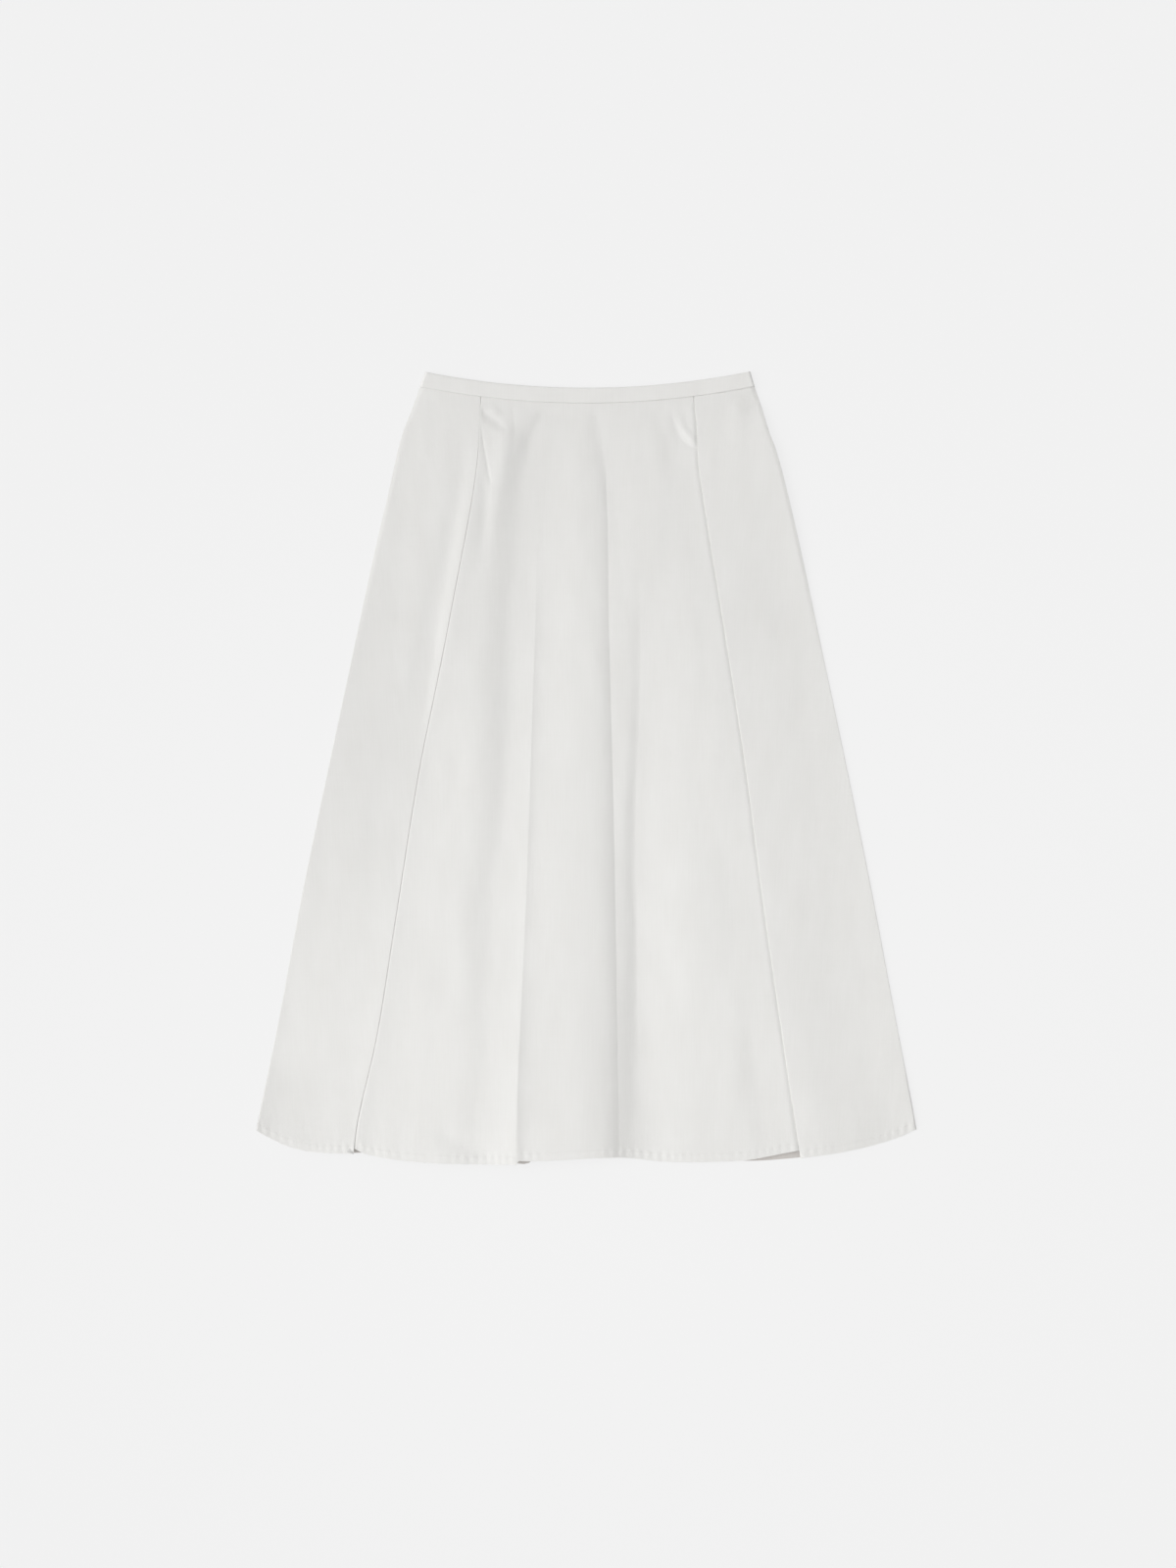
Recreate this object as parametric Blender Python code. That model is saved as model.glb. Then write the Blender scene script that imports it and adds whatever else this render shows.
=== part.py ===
"""A flared skirt laid flat with its front up: two soft pleats in the front, a narrow waistband, a turned-up hem.

+X runs across the skirt, +Y from its hem to its waist, and +Z up from the surface that it lies on. The origin is the
middle of the underside. The cloth is cut and laid as a fan, so every place on it is given as "down", the distance
below the waistband's top edge along the fan, "across", the distance from the centre line along the fan's arc, and
"height", the height of the middle of the cloth's wall above the surface. All sizes are in metres.
"""

import bisect
import math
from collections import namedtuple

import bpy

# The fan
WAIST_RADIUS = 0.874
BAND_WIDTH = 0.0165
HEM_DOWN = 0.825

# The cloth's wall
WALL = 0.0010
SEAM_GAP = 0.0003
HEM_TURN = 0.0090
HEM_PLY = 0.0006
HEM_STEP = 0.0010
BAND_WALL = 0.0018
BAND_FRONT_WALL = 0.0024
BAND_ROUNDING = 0.0006
BAND_ROUNDING_STEPS = 2

# Where two faces meet at more than this, the edge is sharp
SHARP_ANGLE = math.radians(50.0)

# How the front lies over the back: it rises clear of the thicker hems within this stretch
HEM_RISE_START = 0.755
HEM_RISE = 0.022

# How the cloth settles beside its edges and pleats
SIDE_ROUNDING = 0.014
COVER_RUN = 0.018
COVER_SLACK = 0.002
ROLL_WIDTH = 0.011
CENTRE_SETTLE = 0.018
SOFT_FLOOR = 0.0008

# Columns and rows of the wall
SIDE_SHARES = (0.0, 0.03, 0.09, 0.18, 0.3, 0.42, 0.54, 0.65, 0.74, 0.82, 0.89, 0.95)
EDGE_FOLD_STEPS = 5
UNDERLAY_STEPS = 2
INNER_FOLD_STEPS = 4
CENTRE_STEPS = 44
FRONT_ROWS = 25
BACK_ROWS = 12
BACK_COLUMNS = 10
BAND_STEPS = 26

# Cotton's colour, in linear values
COTTON = (0.79, 0.78, 0.76, 1.0)
COTTON_ROUGHNESS = 0.85

# The outline, the folded edge of each pleat and how far its underlay is tucked outwards from that edge
Section = namedtuple("Section", "down left_side left_pleat left_tuck right_tuck right_pleat right_side")
SECTIONS = (
    Section(0.000, -0.171, -0.112, 0.028, 0.028, 0.114, 0.174),
    Section(0.017, -0.177, -0.112, 0.028, 0.028, 0.114, 0.179),
    Section(0.045, -0.187, -0.113, 0.029, 0.029, 0.117, 0.188),
    Section(0.066, -0.195, -0.114, 0.030, 0.030, 0.118, 0.194),
    Section(0.088, -0.201, -0.116, 0.031, 0.031, 0.119, 0.202),
    Section(0.130, -0.210, -0.122, 0.033, 0.033, 0.125, 0.213),
    Section(0.200, -0.226, -0.135, 0.036, 0.036, 0.136, 0.229),
    Section(0.300, -0.247, -0.154, 0.039, 0.039, 0.152, 0.250),
    Section(0.420, -0.272, -0.178, 0.043, 0.043, 0.170, 0.275),
    Section(0.560, -0.301, -0.200, 0.047, 0.047, 0.188, 0.303),
    Section(0.700, -0.327, -0.222, 0.051, 0.051, 0.208, 0.329),
    Section(0.790, -0.345, -0.242, 0.054, 0.054, 0.221, 0.346),
    Section(0.830, -0.353, -0.247, 0.055, 0.055, 0.227, 0.353),
)

# How round the pleats' folded edges are, and how high the cloth stands between its folds
Fullness = namedtuple("Fullness", "down roll_radius centre_loft side_loft")
FULLNESS = (
    Fullness(0.017, 0.0010, 0.0024, 0.0006),
    Fullness(0.060, 0.0013, 0.0062, 0.0016),
    Fullness(0.130, 0.0018, 0.0074, 0.0028),
    Fullness(0.300, 0.0022, 0.0084, 0.0034),
    Fullness(0.560, 0.0022, 0.0088, 0.0038),
    Fullness(0.830, 0.0018, 0.0088, 0.0040),
)

# The centre panel's folds: where each runs, how far it stands up (or sinks) and how wide it is on each side
Fold = namedtuple("Fold", "down across rise left right")
CENTRE_FOLDS = {
    "left_valley": (
        Fold(0.010, -0.046, -0.004, 0.010, 0.010),
        Fold(0.069, -0.072, -0.008, 0.014, 0.013),
        Fold(0.130, -0.086, -0.007, 0.016, 0.013),
        Fold(0.240, -0.092, -0.008, 0.016, 0.014),
        Fold(0.340, -0.094, -0.008, 0.015, 0.015),
        Fold(0.480, -0.102, -0.006, 0.016, 0.016),
        Fold(0.650, -0.111, -0.004, 0.020, 0.014),
        Fold(0.830, -0.126, -0.003, 0.020, 0.016),
    ),
    "left_ridge": (
        Fold(0.150, -0.062, 0.000, 0.014, 0.011),
        Fold(0.300, -0.066, 0.002, 0.014, 0.011),
        Fold(0.500, -0.074, 0.003, 0.018, 0.011),
        Fold(0.700, -0.082, 0.005, 0.022, 0.011),
        Fold(0.830, -0.086, 0.006, 0.024, 0.011),
    ),
    "ridge_side": (
        Fold(0.200, -0.046, 0.000, 0.011, 0.016),
        Fold(0.420, -0.050, -0.003, 0.011, 0.018),
        Fold(0.640, -0.058, -0.004, 0.011, 0.022),
        Fold(0.830, -0.063, -0.005, 0.011, 0.024),
    ),
    "middle_valley": (
        Fold(0.010, 0.001, -0.003, 0.012, 0.011),
        Fold(0.056, 0.014, -0.006, 0.016, 0.011),
        Fold(0.130, 0.020, -0.008, 0.020, 0.012),
        Fold(0.340, 0.024, -0.008, 0.022, 0.012),
        Fold(0.570, 0.030, -0.009, 0.024, 0.013),
        Fold(0.700, 0.033, -0.010, 0.026, 0.016),
        Fold(0.830, 0.037, -0.010, 0.030, 0.020),
    ),
    "inner_line": (
        Fold(0.200, 0.062, 0.000, 0.011, 0.014),
        Fold(0.300, 0.059, -0.003, 0.011, 0.015),
        Fold(0.420, 0.056, -0.004, 0.011, 0.016),
        Fold(0.560, 0.053, -0.005, 0.011, 0.016),
        Fold(0.700, 0.052, -0.003, 0.011, 0.018),
        Fold(0.790, 0.050, 0.000, 0.012, 0.018),
    ),
    "right_valley": (
        Fold(0.010, 0.062, -0.003, 0.010, 0.012),
        Fold(0.086, 0.086, -0.004, 0.012, 0.014),
        Fold(0.190, 0.110, -0.004, 0.014, 0.014),
        Fold(0.260, 0.124, 0.000, 0.014, 0.014),
    ),
    "hem_valley": (
        Fold(0.480, 0.138, 0.000, 0.014, 0.014),
        Fold(0.650, 0.155, -0.004, 0.014, 0.016),
        Fold(0.830, 0.186, -0.007, 0.018, 0.018),
    ),
}

# The side panels' soft hollows
LEFT_FOLDS = {
    "hip_hollow": (
        Fold(0.080, -0.150, 0.000, 0.018, 0.018),
        Fold(0.260, -0.185, -0.0015, 0.022, 0.018),
        Fold(0.430, -0.222, -0.0026, 0.030, 0.024),
        Fold(0.560, -0.262, 0.000, 0.026, 0.026),
    ),
    "corner_hollow": (
        Fold(0.740, -0.335, 0.000, 0.020, 0.020),
        Fold(0.830, -0.318, -0.003, 0.024, 0.030),
    ),
}
RIGHT_FOLDS = {
    "hip_hollow": (
        Fold(0.080, 0.176, 0.000, 0.016, 0.016),
        Fold(0.190, 0.208, -0.002, 0.020, 0.020),
        Fold(0.330, 0.236, 0.000, 0.022, 0.022),
    ),
    "knee_hollow": (
        Fold(0.420, 0.205, 0.000, 0.018, 0.018),
        Fold(0.600, 0.240, -0.0026, 0.020, 0.022),
        Fold(0.760, 0.276, 0.000, 0.026, 0.026),
    ),
}

# The hem: how far down it hangs at each place across, on each panel and on the back
HemPoint = namedtuple("HemPoint", "across down")
LEFT_HEM = (
    HemPoint(-0.353, 0.8190),
    HemPoint(-0.340, 0.8235),
    HemPoint(-0.316, 0.8298),
    HemPoint(-0.290, 0.8310),
    HemPoint(-0.247, 0.8262),
)
CENTRE_HEM = (
    HemPoint(-0.247, 0.8200),
    HemPoint(-0.232, 0.8247),
    HemPoint(-0.190, 0.8262),
    HemPoint(-0.116, 0.8230),
    HemPoint(-0.072, 0.8205),
    HemPoint(-0.057, 0.8170),
    HemPoint(0.010, 0.8122),
    HemPoint(0.042, 0.8130),
    HemPoint(0.083, 0.8190),
    HemPoint(0.150, 0.8232),
    HemPoint(0.190, 0.8212),
    HemPoint(0.227, 0.8180),
)
RIGHT_HEM = (
    HemPoint(0.227, 0.8300),
    HemPoint(0.242, 0.8282),
    HemPoint(0.292, 0.8268),
    HemPoint(0.326, 0.8240),
    HemPoint(0.353, 0.8190),
)
BACK_HEM = (
    HemPoint(-0.353, 0.8190),
    HemPoint(-0.340, 0.8230),
    HemPoint(-0.316, 0.8285),
    HemPoint(-0.290, 0.8295),
    HemPoint(-0.247, 0.8250),
    HemPoint(-0.190, 0.8240),
    HemPoint(-0.070, 0.8210),
    HemPoint(0.025, 0.8105),
    HemPoint(0.083, 0.8175),
    HemPoint(0.158, 0.8250),
    HemPoint(0.190, 0.8275),
    HemPoint(0.227, 0.8290),
    HemPoint(0.292, 0.8262),
    HemPoint(0.326, 0.8235),
    HemPoint(0.353, 0.8190),
)


def follow(rows, place):
    """The row of a table at a place in its first column, on a smooth curve through the rows."""
    if place <= rows[0][0]:
        return rows[0]
    if place >= rows[-1][0]:
        return rows[-1]
    index = bisect.bisect_right([row[0] for row in rows], place) - 1
    before, after = rows[max(index - 1, 0)], rows[min(index + 2, len(rows) - 1)]
    start, end = rows[index], rows[index + 1]
    span = end[0] - start[0]
    share = (place - start[0]) / span
    values = []
    for low, first, second, high in zip(before, start, end, after):
        slope_in = (second - low) / (end[0] - before[0]) * span
        slope_out = (high - first) / (after[0] - start[0]) * span
        bend = 2.0 * (first - second) + slope_in + slope_out
        turn = 3.0 * (second - first) - 2.0 * slope_in - slope_out
        values.append(first + share * (slope_in + share * (turn + share * bend)))
    return type(start)(*values)


def ease(share):
    """A smooth step from 0 to 1 as the share goes from 0 to 1."""
    share = min(max(share, 0.0), 1.0)
    return share * share * (3.0 - 2.0 * share)


def bump(offset, width):
    """A soft bump, 1 at no offset and near 0 past twice its width."""
    return math.exp(-((offset / width) ** 2))


def raised(rise):
    """The rise where it is above nothing, rounded off softly where the cloth comes to rest."""
    return 0.5 * (rise + math.hypot(rise, SOFT_FLOOR))


def hem_rise(down):
    """How far the hem's double thickness has taken over, from 0 above it to 1 beside it."""
    return ease((down - HEM_RISE_START) / HEM_RISE)


def layer_pitch(down):
    """The height from one layer of the front to the next that lies on it."""
    return WALL + SEAM_GAP + HEM_PLY * hem_rise(down)


def rest_height(down):
    """The height of the front's wall where it lies on the back."""
    return 1.5 * WALL + SEAM_GAP + 1.5 * HEM_PLY * hem_rise(down)


def fold_rise(folds, down, across):
    """How far a panel's folds lift it, or let it sink, at one place."""
    total = 0.0
    for rows in folds.values():
        if rows[0].down <= down <= rows[-1].down:
            fold = follow(rows, down)
            offset = across - fold.across
            total += fold.rise * bump(offset, fold.right if offset > 0.0 else fold.left)
    return total


def pleat_of(side, down):
    """The pleat on one side, with its distances from the centre line: folded edge, tuck, side edge."""
    section = follow(SECTIONS, down)
    if side < 0:
        return -section.left_pleat, section.left_tuck, -section.left_side
    return section.right_pleat, section.right_tuck, section.right_side


def side_height(side, outward, down):
    """The height of a side panel, which lies over its pleat's underlay and rolls over at the folded edge."""
    edge, tuck, seam = pleat_of(side, down)
    fullness = follow(FULLNESS, down)
    pitch = layer_pitch(down)
    cover = 1.0 - ease((outward - edge - tuck - COVER_SLACK) / COVER_RUN)
    roll = bump(outward - edge - fullness.roll_radius, ROLL_WIDTH)
    settled = 1.0 - bump(seam - outward, SIDE_ROUNDING)
    folds = fold_rise(LEFT_FOLDS if side < 0 else RIGHT_FOLDS, down, side * outward)
    lift = raised(fullness.side_loft + folds) * settled * (1.0 - roll)
    return rest_height(down) + 2.0 * pitch * cover + (2.0 * fullness.roll_radius - pitch) * roll + lift


def side_station(side, down, share):
    """A place on a side panel, from its side seam (share 0) to its pleat's folded edge (share 1)."""
    edge, _, seam = pleat_of(side, down)
    crest = edge + follow(FULLNESS, down).roll_radius
    outward = seam + (crest - seam) * share
    return side * outward, side_height(side, outward, down)


def edge_fold_station(side, down, share):
    """A place round a pleat's folded edge, from its top (share 0) to its underside (share 1)."""
    edge = pleat_of(side, down)[0]
    radius = follow(FULLNESS, down).roll_radius
    turn = math.pi * (0.5 + share)
    middle = rest_height(down) + layer_pitch(down) + radius
    return side * (edge + radius + radius * math.cos(turn)), middle + radius * math.sin(turn)


def underlay_station(side, down, share):
    """A place on a pleat's underlay, from its folded edge (share 0) outwards to its inner fold (share 1)."""
    edge, tuck, _ = pleat_of(side, down)
    start = edge + follow(FULLNESS, down).roll_radius
    end = edge + tuck - 0.5 * layer_pitch(down)
    return side * (start + (end - start) * share), rest_height(down) + layer_pitch(down)


def inner_fold_station(side, down, share):
    """A place round a pleat's hidden inner fold, from its top (share 0) to its underside (share 1)."""
    edge, tuck, _ = pleat_of(side, down)
    radius = 0.5 * layer_pitch(down)
    turn = math.pi * (0.5 - share)
    outward = edge + tuck - radius + radius * math.cos(turn)
    return side * outward, rest_height(down) + radius + radius * math.sin(turn)


def tucked_station(side, down, share):
    """A place on the centre panel where it runs under a pleat, from the inner fold (share 0) to the edge (1)."""
    edge, tuck, _ = pleat_of(side, down)
    start = edge + tuck - 0.5 * layer_pitch(down)
    return side * (start + (edge - start) * share), rest_height(down)


def centre_station(_, down, share):
    """A place on the open centre panel, from the left pleat (share 0) to the right one (share 1)."""
    section = follow(SECTIONS, down)
    across = section.left_pleat + (section.right_pleat - section.left_pleat) * share
    beside = min(across - section.left_pleat, section.right_pleat - across)
    lift = raised(follow(FULLNESS, down).centre_loft + fold_rise(CENTRE_FOLDS, down, across))
    return across, rest_height(down) + lift * ease(beside / CENTRE_SETTLE)


# A column of the front's wall: the function that places it, its side and share, and the panel whose hem it follows
Column = namedtuple("Column", "station side share panel")


def pleat_columns(side):
    """The columns of one side of the front, from its side seam in to the open centre panel."""
    columns = [Column(side_station, side, share, "side") for share in SIDE_SHARES]
    for station, steps, panel in (
        (edge_fold_station, EDGE_FOLD_STEPS, "side"),
        (underlay_station, UNDERLAY_STEPS, "tuck"),
        (inner_fold_station, INNER_FOLD_STEPS, "centre"),
        (tucked_station, UNDERLAY_STEPS, "centre"),
    ):
        columns += [Column(station, side, step / steps, panel) for step in range(steps)]
    return columns


def front_columns():
    """Every column of the front, from its left side seam to its right one."""
    centre = [Column(centre_station, 0, step / CENTRE_STEPS, "centre") for step in range(CENTRE_STEPS + 1)]
    return pleat_columns(-1) + centre + pleat_columns(1)[::-1]


def front_hem(column):
    """How far down the hem lies at one column of the front."""
    across = column.station(column.side, HEM_DOWN, column.share)[0]
    side_hem = LEFT_HEM if across < 0.0 else RIGHT_HEM
    if column.panel == "side":
        return follow(side_hem, across).down
    centre = follow(CENTRE_HEM, across).down
    if column.panel == "centre":
        return centre
    edge = side_hem[-1] if across < 0.0 else side_hem[0]
    return edge.down + (centre - edge.down) * column.share


def row_places(top, hem, rows):
    """The distances down of a wall's rows: even ones to the hem's turn, then the turn's own step and its edge."""
    turn = hem - HEM_TURN
    even = [top + (turn - top) * row / (rows - 1) for row in range(rows)]
    return even + [turn + HEM_STEP, hem]


def on_fan(down, across, height):
    """A place on the fan as a point in space, with the fan's own centre as the origin."""
    radius = WAIST_RADIUS + down
    angle = across / radius
    return radius * math.sin(angle), -radius * math.cos(angle), height


def add_object(name, points, faces):
    """A mesh object of these points and faces, with its own cotton material and smooth shading."""
    mesh = bpy.data.meshes.new(name)
    mesh.from_pydata(points, [], faces)
    mesh.validate()
    mesh.shade_smooth()
    mesh.set_sharp_from_angle(angle=SHARP_ANGLE)
    material = bpy.data.materials.new(f"{name}_cotton")
    material.use_nodes = True
    shader = material.node_tree.nodes["Principled BSDF"]
    shader.inputs["Base Color"].default_value = COTTON
    shader.inputs["Roughness"].default_value = COTTON_ROUGHNESS
    shader.inputs["Metallic"].default_value = 0.0
    mesh.materials.append(material)
    placed = bpy.data.objects.new(name, mesh)
    bpy.context.scene.collection.objects.link(placed)
    return placed


def closed_wall(upper, lower):
    """The points and outward faces of a wall between two grids of points, rows running from the waist to the hem."""
    rows, columns = len(upper), len(upper[0])
    points = [point for grid in (upper, lower) for row in grid for point in row]

    def top(row, column):
        return row * columns + column

    def bottom(row, column):
        return (rows + row) * columns + column

    faces = []
    for row in range(rows - 1):
        for column in range(columns - 1):
            corners = ((row, column), (row + 1, column), (row + 1, column + 1), (row, column + 1))
            faces.append([top(*corner) for corner in corners])
            faces.append([bottom(*corner) for corner in reversed(corners)])
        for column, turned in ((0, False), (columns - 1, True)):
            face = [top(row, column), bottom(row, column), bottom(row + 1, column), top(row + 1, column)]
            faces.append(face[::-1] if turned else face)
    for row, turned in ((0, True), (rows - 1, False)):
        for column in range(columns - 1):
            face = [top(row, column), bottom(row, column), bottom(row, column + 1), top(row, column + 1)]
            faces.append(face[::-1] if turned else face)
    return points, faces


def offset_row(stations, walls):
    """The upper and lower (across, height) of a row of stations, each half a wall off along the row's own normal."""
    upper, lower = [], []
    last = len(stations) - 1
    for index, ((across, height), wall) in enumerate(zip(stations, walls)):
        before, after = stations[max(index - 1, 0)], stations[min(index + 1, last)]
        run, climb = after[0] - before[0], after[1] - before[1]
        length = math.hypot(run, climb)
        aside, above = -0.5 * wall * climb / length, 0.5 * wall * run / length
        upper.append((across + aside, height + above))
        lower.append((across - aside, height - above))
    return upper, lower


def make_front():
    """The front, one cut piece: left side panel, left pleat, centre panel, right pleat and right side panel."""
    columns = front_columns()
    top = BAND_WIDTH + SEAM_GAP
    downs = list(zip(*(row_places(top, front_hem(column), FRONT_ROWS) for column in columns)))
    upper, lower = [], []
    for row, row_downs in enumerate(downs):
        wall = WALL if row < FRONT_ROWS else WALL + HEM_PLY
        stations = [column.station(column.side, down, column.share) for column, down in zip(columns, row_downs)]
        above, below = offset_row(stations, [wall] * len(columns))
        upper.append([on_fan(down, *place) for down, place in zip(row_downs, above)])
        lower.append([on_fan(down, *place) for down, place in zip(row_downs, below)])
    return add_object("front_panel", *closed_wall(upper, lower))


def make_back(name, side):
    """One half of the back, flat on the surface, from the centre-back seam to its side seam."""
    upper, lower = [], []
    for row in range(BACK_ROWS + 2):
        above, below = [], []
        for column in range(BACK_COLUMNS + 1):
            share = column / BACK_COLUMNS
            seam = pleat_of(side, HEM_DOWN)[2]
            hem = follow(BACK_HEM, side * seam * share).down
            down = row_places(BAND_WIDTH + SEAM_GAP, hem, BACK_ROWS)[row]
            start = 0.5 * SEAM_GAP
            across = side * (start + (pleat_of(side, down)[2] - start) * share)
            wall = WALL if row < BACK_ROWS else WALL + HEM_PLY
            above.append(on_fan(down, across, wall))
            below.append(on_fan(down, across, 0.0))
        upper.append(above if side > 0 else above[::-1])
        lower.append(below if side > 0 else below[::-1])
    return add_object(name, *closed_wall(upper, lower))


def make_band(name, starts, ends, bottom, wall):
    """A stretch of the waistband between two sides of the outline, with rounded long edges."""
    upper, lower = [], []
    for down in (0.0, 0.5 * BAND_WIDTH, BAND_WIDTH):
        start, end = starts(down), ends(down)
        places = [start + (end - start) * step / BAND_STEPS for step in range(BAND_STEPS + 1)]
        upper.append([on_fan(down, across, bottom + wall) for across in places])
        lower.append([on_fan(down, across, bottom) for across in places])
    band = add_object(name, *closed_wall(upper, lower))
    rounding = band.modifiers.new("edges", "BEVEL")
    rounding.width = BAND_ROUNDING
    rounding.segments = BAND_ROUNDING_STEPS
    rounding.limit_method = "ANGLE"
    rounding.angle_limit = SHARP_ANGLE
    return band


def left_side(down):
    """The outline's left side at this distance down."""
    return follow(SECTIONS, down).left_side


def right_side(down):
    """The outline's right side at this distance down."""
    return follow(SECTIONS, down).right_side


def left_of_back_seam(_):
    """The left half's edge at the centre-back seam."""
    return -0.5 * SEAM_GAP


def right_of_back_seam(_):
    """The right half's edge at the centre-back seam."""
    return 0.5 * SEAM_GAP


def centre_on_origin(pieces):
    """Moves the pieces together so that the middle of their outline's box is at the origin."""
    points = [vertex.co for piece in pieces for vertex in piece.data.vertices]
    middle = [0.5 * (min(p[axis] for p in points) + max(p[axis] for p in points)) for axis in (0, 1)]
    for piece in pieces:
        for vertex in piece.data.vertices:
            vertex.co.x -= middle[0]
            vertex.co.y -= middle[1]


def main():
    """Clears the scene and builds the skirt's six pieces."""
    for old in list(bpy.data.objects):
        bpy.data.objects.remove(old, do_unlink=True)
    centre_on_origin(
        [
            make_front(),
            make_back("back_panel_left", -1),
            make_back("back_panel_right", 1),
            make_band("waistband_front", left_side, right_side, BAND_WALL + SEAM_GAP, BAND_FRONT_WALL),
            make_band("waistband_back_left", left_side, left_of_back_seam, 0.0, BAND_WALL),
            make_band("waistband_back_right", right_of_back_seam, right_side, 0.0, BAND_WALL),
        ]
    )


main()
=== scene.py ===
"""A flared cotton skirt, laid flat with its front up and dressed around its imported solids.

+X runs across the skirt, +Y from its hem to its waist and +Z up from the floor. Sizes are in metres, and only the
tables' rows are written in millimetres. The cloth is laid as a fan, so a place on it is given as "down", the distance
below the waistband's top edge along the fan, "across", the distance from the centre line along the fan's arc, and
"height", the height of the middle of the cloth.
"""

import logging
import math
from collections.abc import Sequence
from dataclasses import dataclass
from enum import Enum
from typing import Any, NamedTuple

import bpy
import numpy as np
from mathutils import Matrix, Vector


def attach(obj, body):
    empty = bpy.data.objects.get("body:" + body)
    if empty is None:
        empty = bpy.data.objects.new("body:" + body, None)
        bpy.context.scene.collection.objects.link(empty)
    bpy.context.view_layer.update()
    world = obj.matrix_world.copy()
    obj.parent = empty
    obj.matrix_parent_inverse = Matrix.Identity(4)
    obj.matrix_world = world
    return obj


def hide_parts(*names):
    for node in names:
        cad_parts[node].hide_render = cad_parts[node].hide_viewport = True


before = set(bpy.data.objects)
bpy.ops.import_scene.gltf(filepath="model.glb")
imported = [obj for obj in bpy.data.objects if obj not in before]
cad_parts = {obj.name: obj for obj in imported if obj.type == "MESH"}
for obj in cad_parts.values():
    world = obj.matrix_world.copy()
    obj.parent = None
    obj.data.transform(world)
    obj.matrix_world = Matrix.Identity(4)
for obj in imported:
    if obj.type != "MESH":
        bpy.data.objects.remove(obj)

log = logging.getLogger("flared_skirt")
Array = np.ndarray
Row = tuple[float, ...]
Placed = tuple[Array, Array, Array | float]
MILLIMETRES_IN_METRE = 1000.0


class OutlineRow(NamedTuple):
    """The outline, each pleat's folded edge and how far its underlay is tucked outwards from that edge."""

    down: float
    left_side: float
    left_pleat: float
    left_tuck: float
    right_tuck: float
    right_pleat: float
    right_side: float


class GuideRow(NamedTuple):
    """Lines down the open centre that the cloth's columns follow, so that its sharp folds stay sharp."""

    down: float
    ridge_line: float
    middle_line: float
    inner_line: float


class DomeRow(NamedTuple):
    """How high the front domes up along its centre line."""

    down: float
    height: float


class FoldRow(NamedTuple):
    """One place on a fold that runs down the cloth: how far it stands up (or sinks), and its width on each side."""

    down: float
    across: float
    rise: float
    left: float
    right: float


class CreaseRow(NamedTuple):
    """One place on a short crease that may run at any slant."""

    down: float
    across: float
    rise: float
    width: float


class ShoulderRow(NamedTuple):
    """How high the open centre comes up beside a pleat's folded edge, how soon, and how far it then runs out."""

    down: float
    rise: float
    foot: float
    run: float


class HemRow(NamedTuple):
    """How far down a hem hangs at one place across."""

    across: float
    down: float


def table(kind: Any, *rows: Row) -> tuple[Any, ...]:
    """Rows of the kind that names their columns. They are written in millimetres and kept in metres."""
    return tuple(kind(*(value / MILLIMETRES_IN_METRE for value in row)) for row in rows)


OUTLINE = table(
    OutlineRow,
    (0, -171, -112, 28, 28, 114, 174),
    (17, -177, -112, 28, 28, 114, 179),
    (45, -187, -113, 29, 29, 117, 188),
    (66, -195, -114, 30, 30, 118, 194),
    (88, -201, -116, 31, 31, 119, 202),
    (130, -210, -122, 33, 33, 125, 213),
    (200, -226, -135, 36, 36, 136, 229),
    (300, -247, -154, 39, 39, 152, 250),
    (420, -272, -178, 43, 43, 170, 275),
    (560, -301, -200, 47, 47, 188, 303),
    (700, -327, -222, 51, 51, 208, 329),
    (790, -345, -242, 54, 54, 221, 346),
    (830, -353, -247, 55, 55, 227, 353),
)
GUIDES = table(
    GuideRow,
    (10, -44, 4, 60),
    (56, -48, 17, 60),
    (150, -52, 22.5, 59),
    (240, -53.5, 23.5, 58),
    (340, -57, 26, 57),
    (440, -60, 28.5, 54),
    (540, -63.5, 30.5, 53),
    (640, -68, 32, 53),
    (740, -72.5, 33.5, 56),
    (830, -73.5, 35, 60),
)
DOME = table(
    DomeRow,
    (17, 1.6), (60, 3.4), (140, 5), (240, 7), (340, 7.3), (440, 7.8), (540, 9.2), (640, 12.2), (740, 14.6),
    (830, 15.2),
)
LEFT_HEM = table(HemRow, (-353, 819), (-340, 823.5), (-316, 829.8), (-290, 831), (-247, 826.2))
CENTRE_HEM = table(
    HemRow,
    (-247, 820), (-232, 824.7), (-190, 826.2), (-116, 823), (-76.5, 820.8), (-73.5, 820.6), (-71.5, 816.7),
    (-69, 816.4), (-55, 816.2), (10, 812.2), (42, 813), (83, 819), (150, 823), (172, 823.6), (189, 822.5),
    (206, 821.2), (227, 819.8),
)
RIGHT_HEM = table(
    HemRow,
    (227, 828.2), (248, 828.4), (273, 828.3), (292, 827.6), (307, 826.5), (324, 825), (340, 822.2),
    (353, 819),
)
BACK_HEM = table(
    HemRow,
    (-353, 819), (-340, 823), (-316, 828.5), (-290, 829.5), (-247, 826), (-236, 824), (-190, 823.6),
    (-76, 820.6), (-62, 820.4), (-54, 814), (25, 810), (83, 817.5), (150, 822.2), (172, 825), (189, 826.3),
    (206, 827), (227, 827.6), (292, 827), (324, 824.4), (340, 821.8), (353, 819),
)


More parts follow.
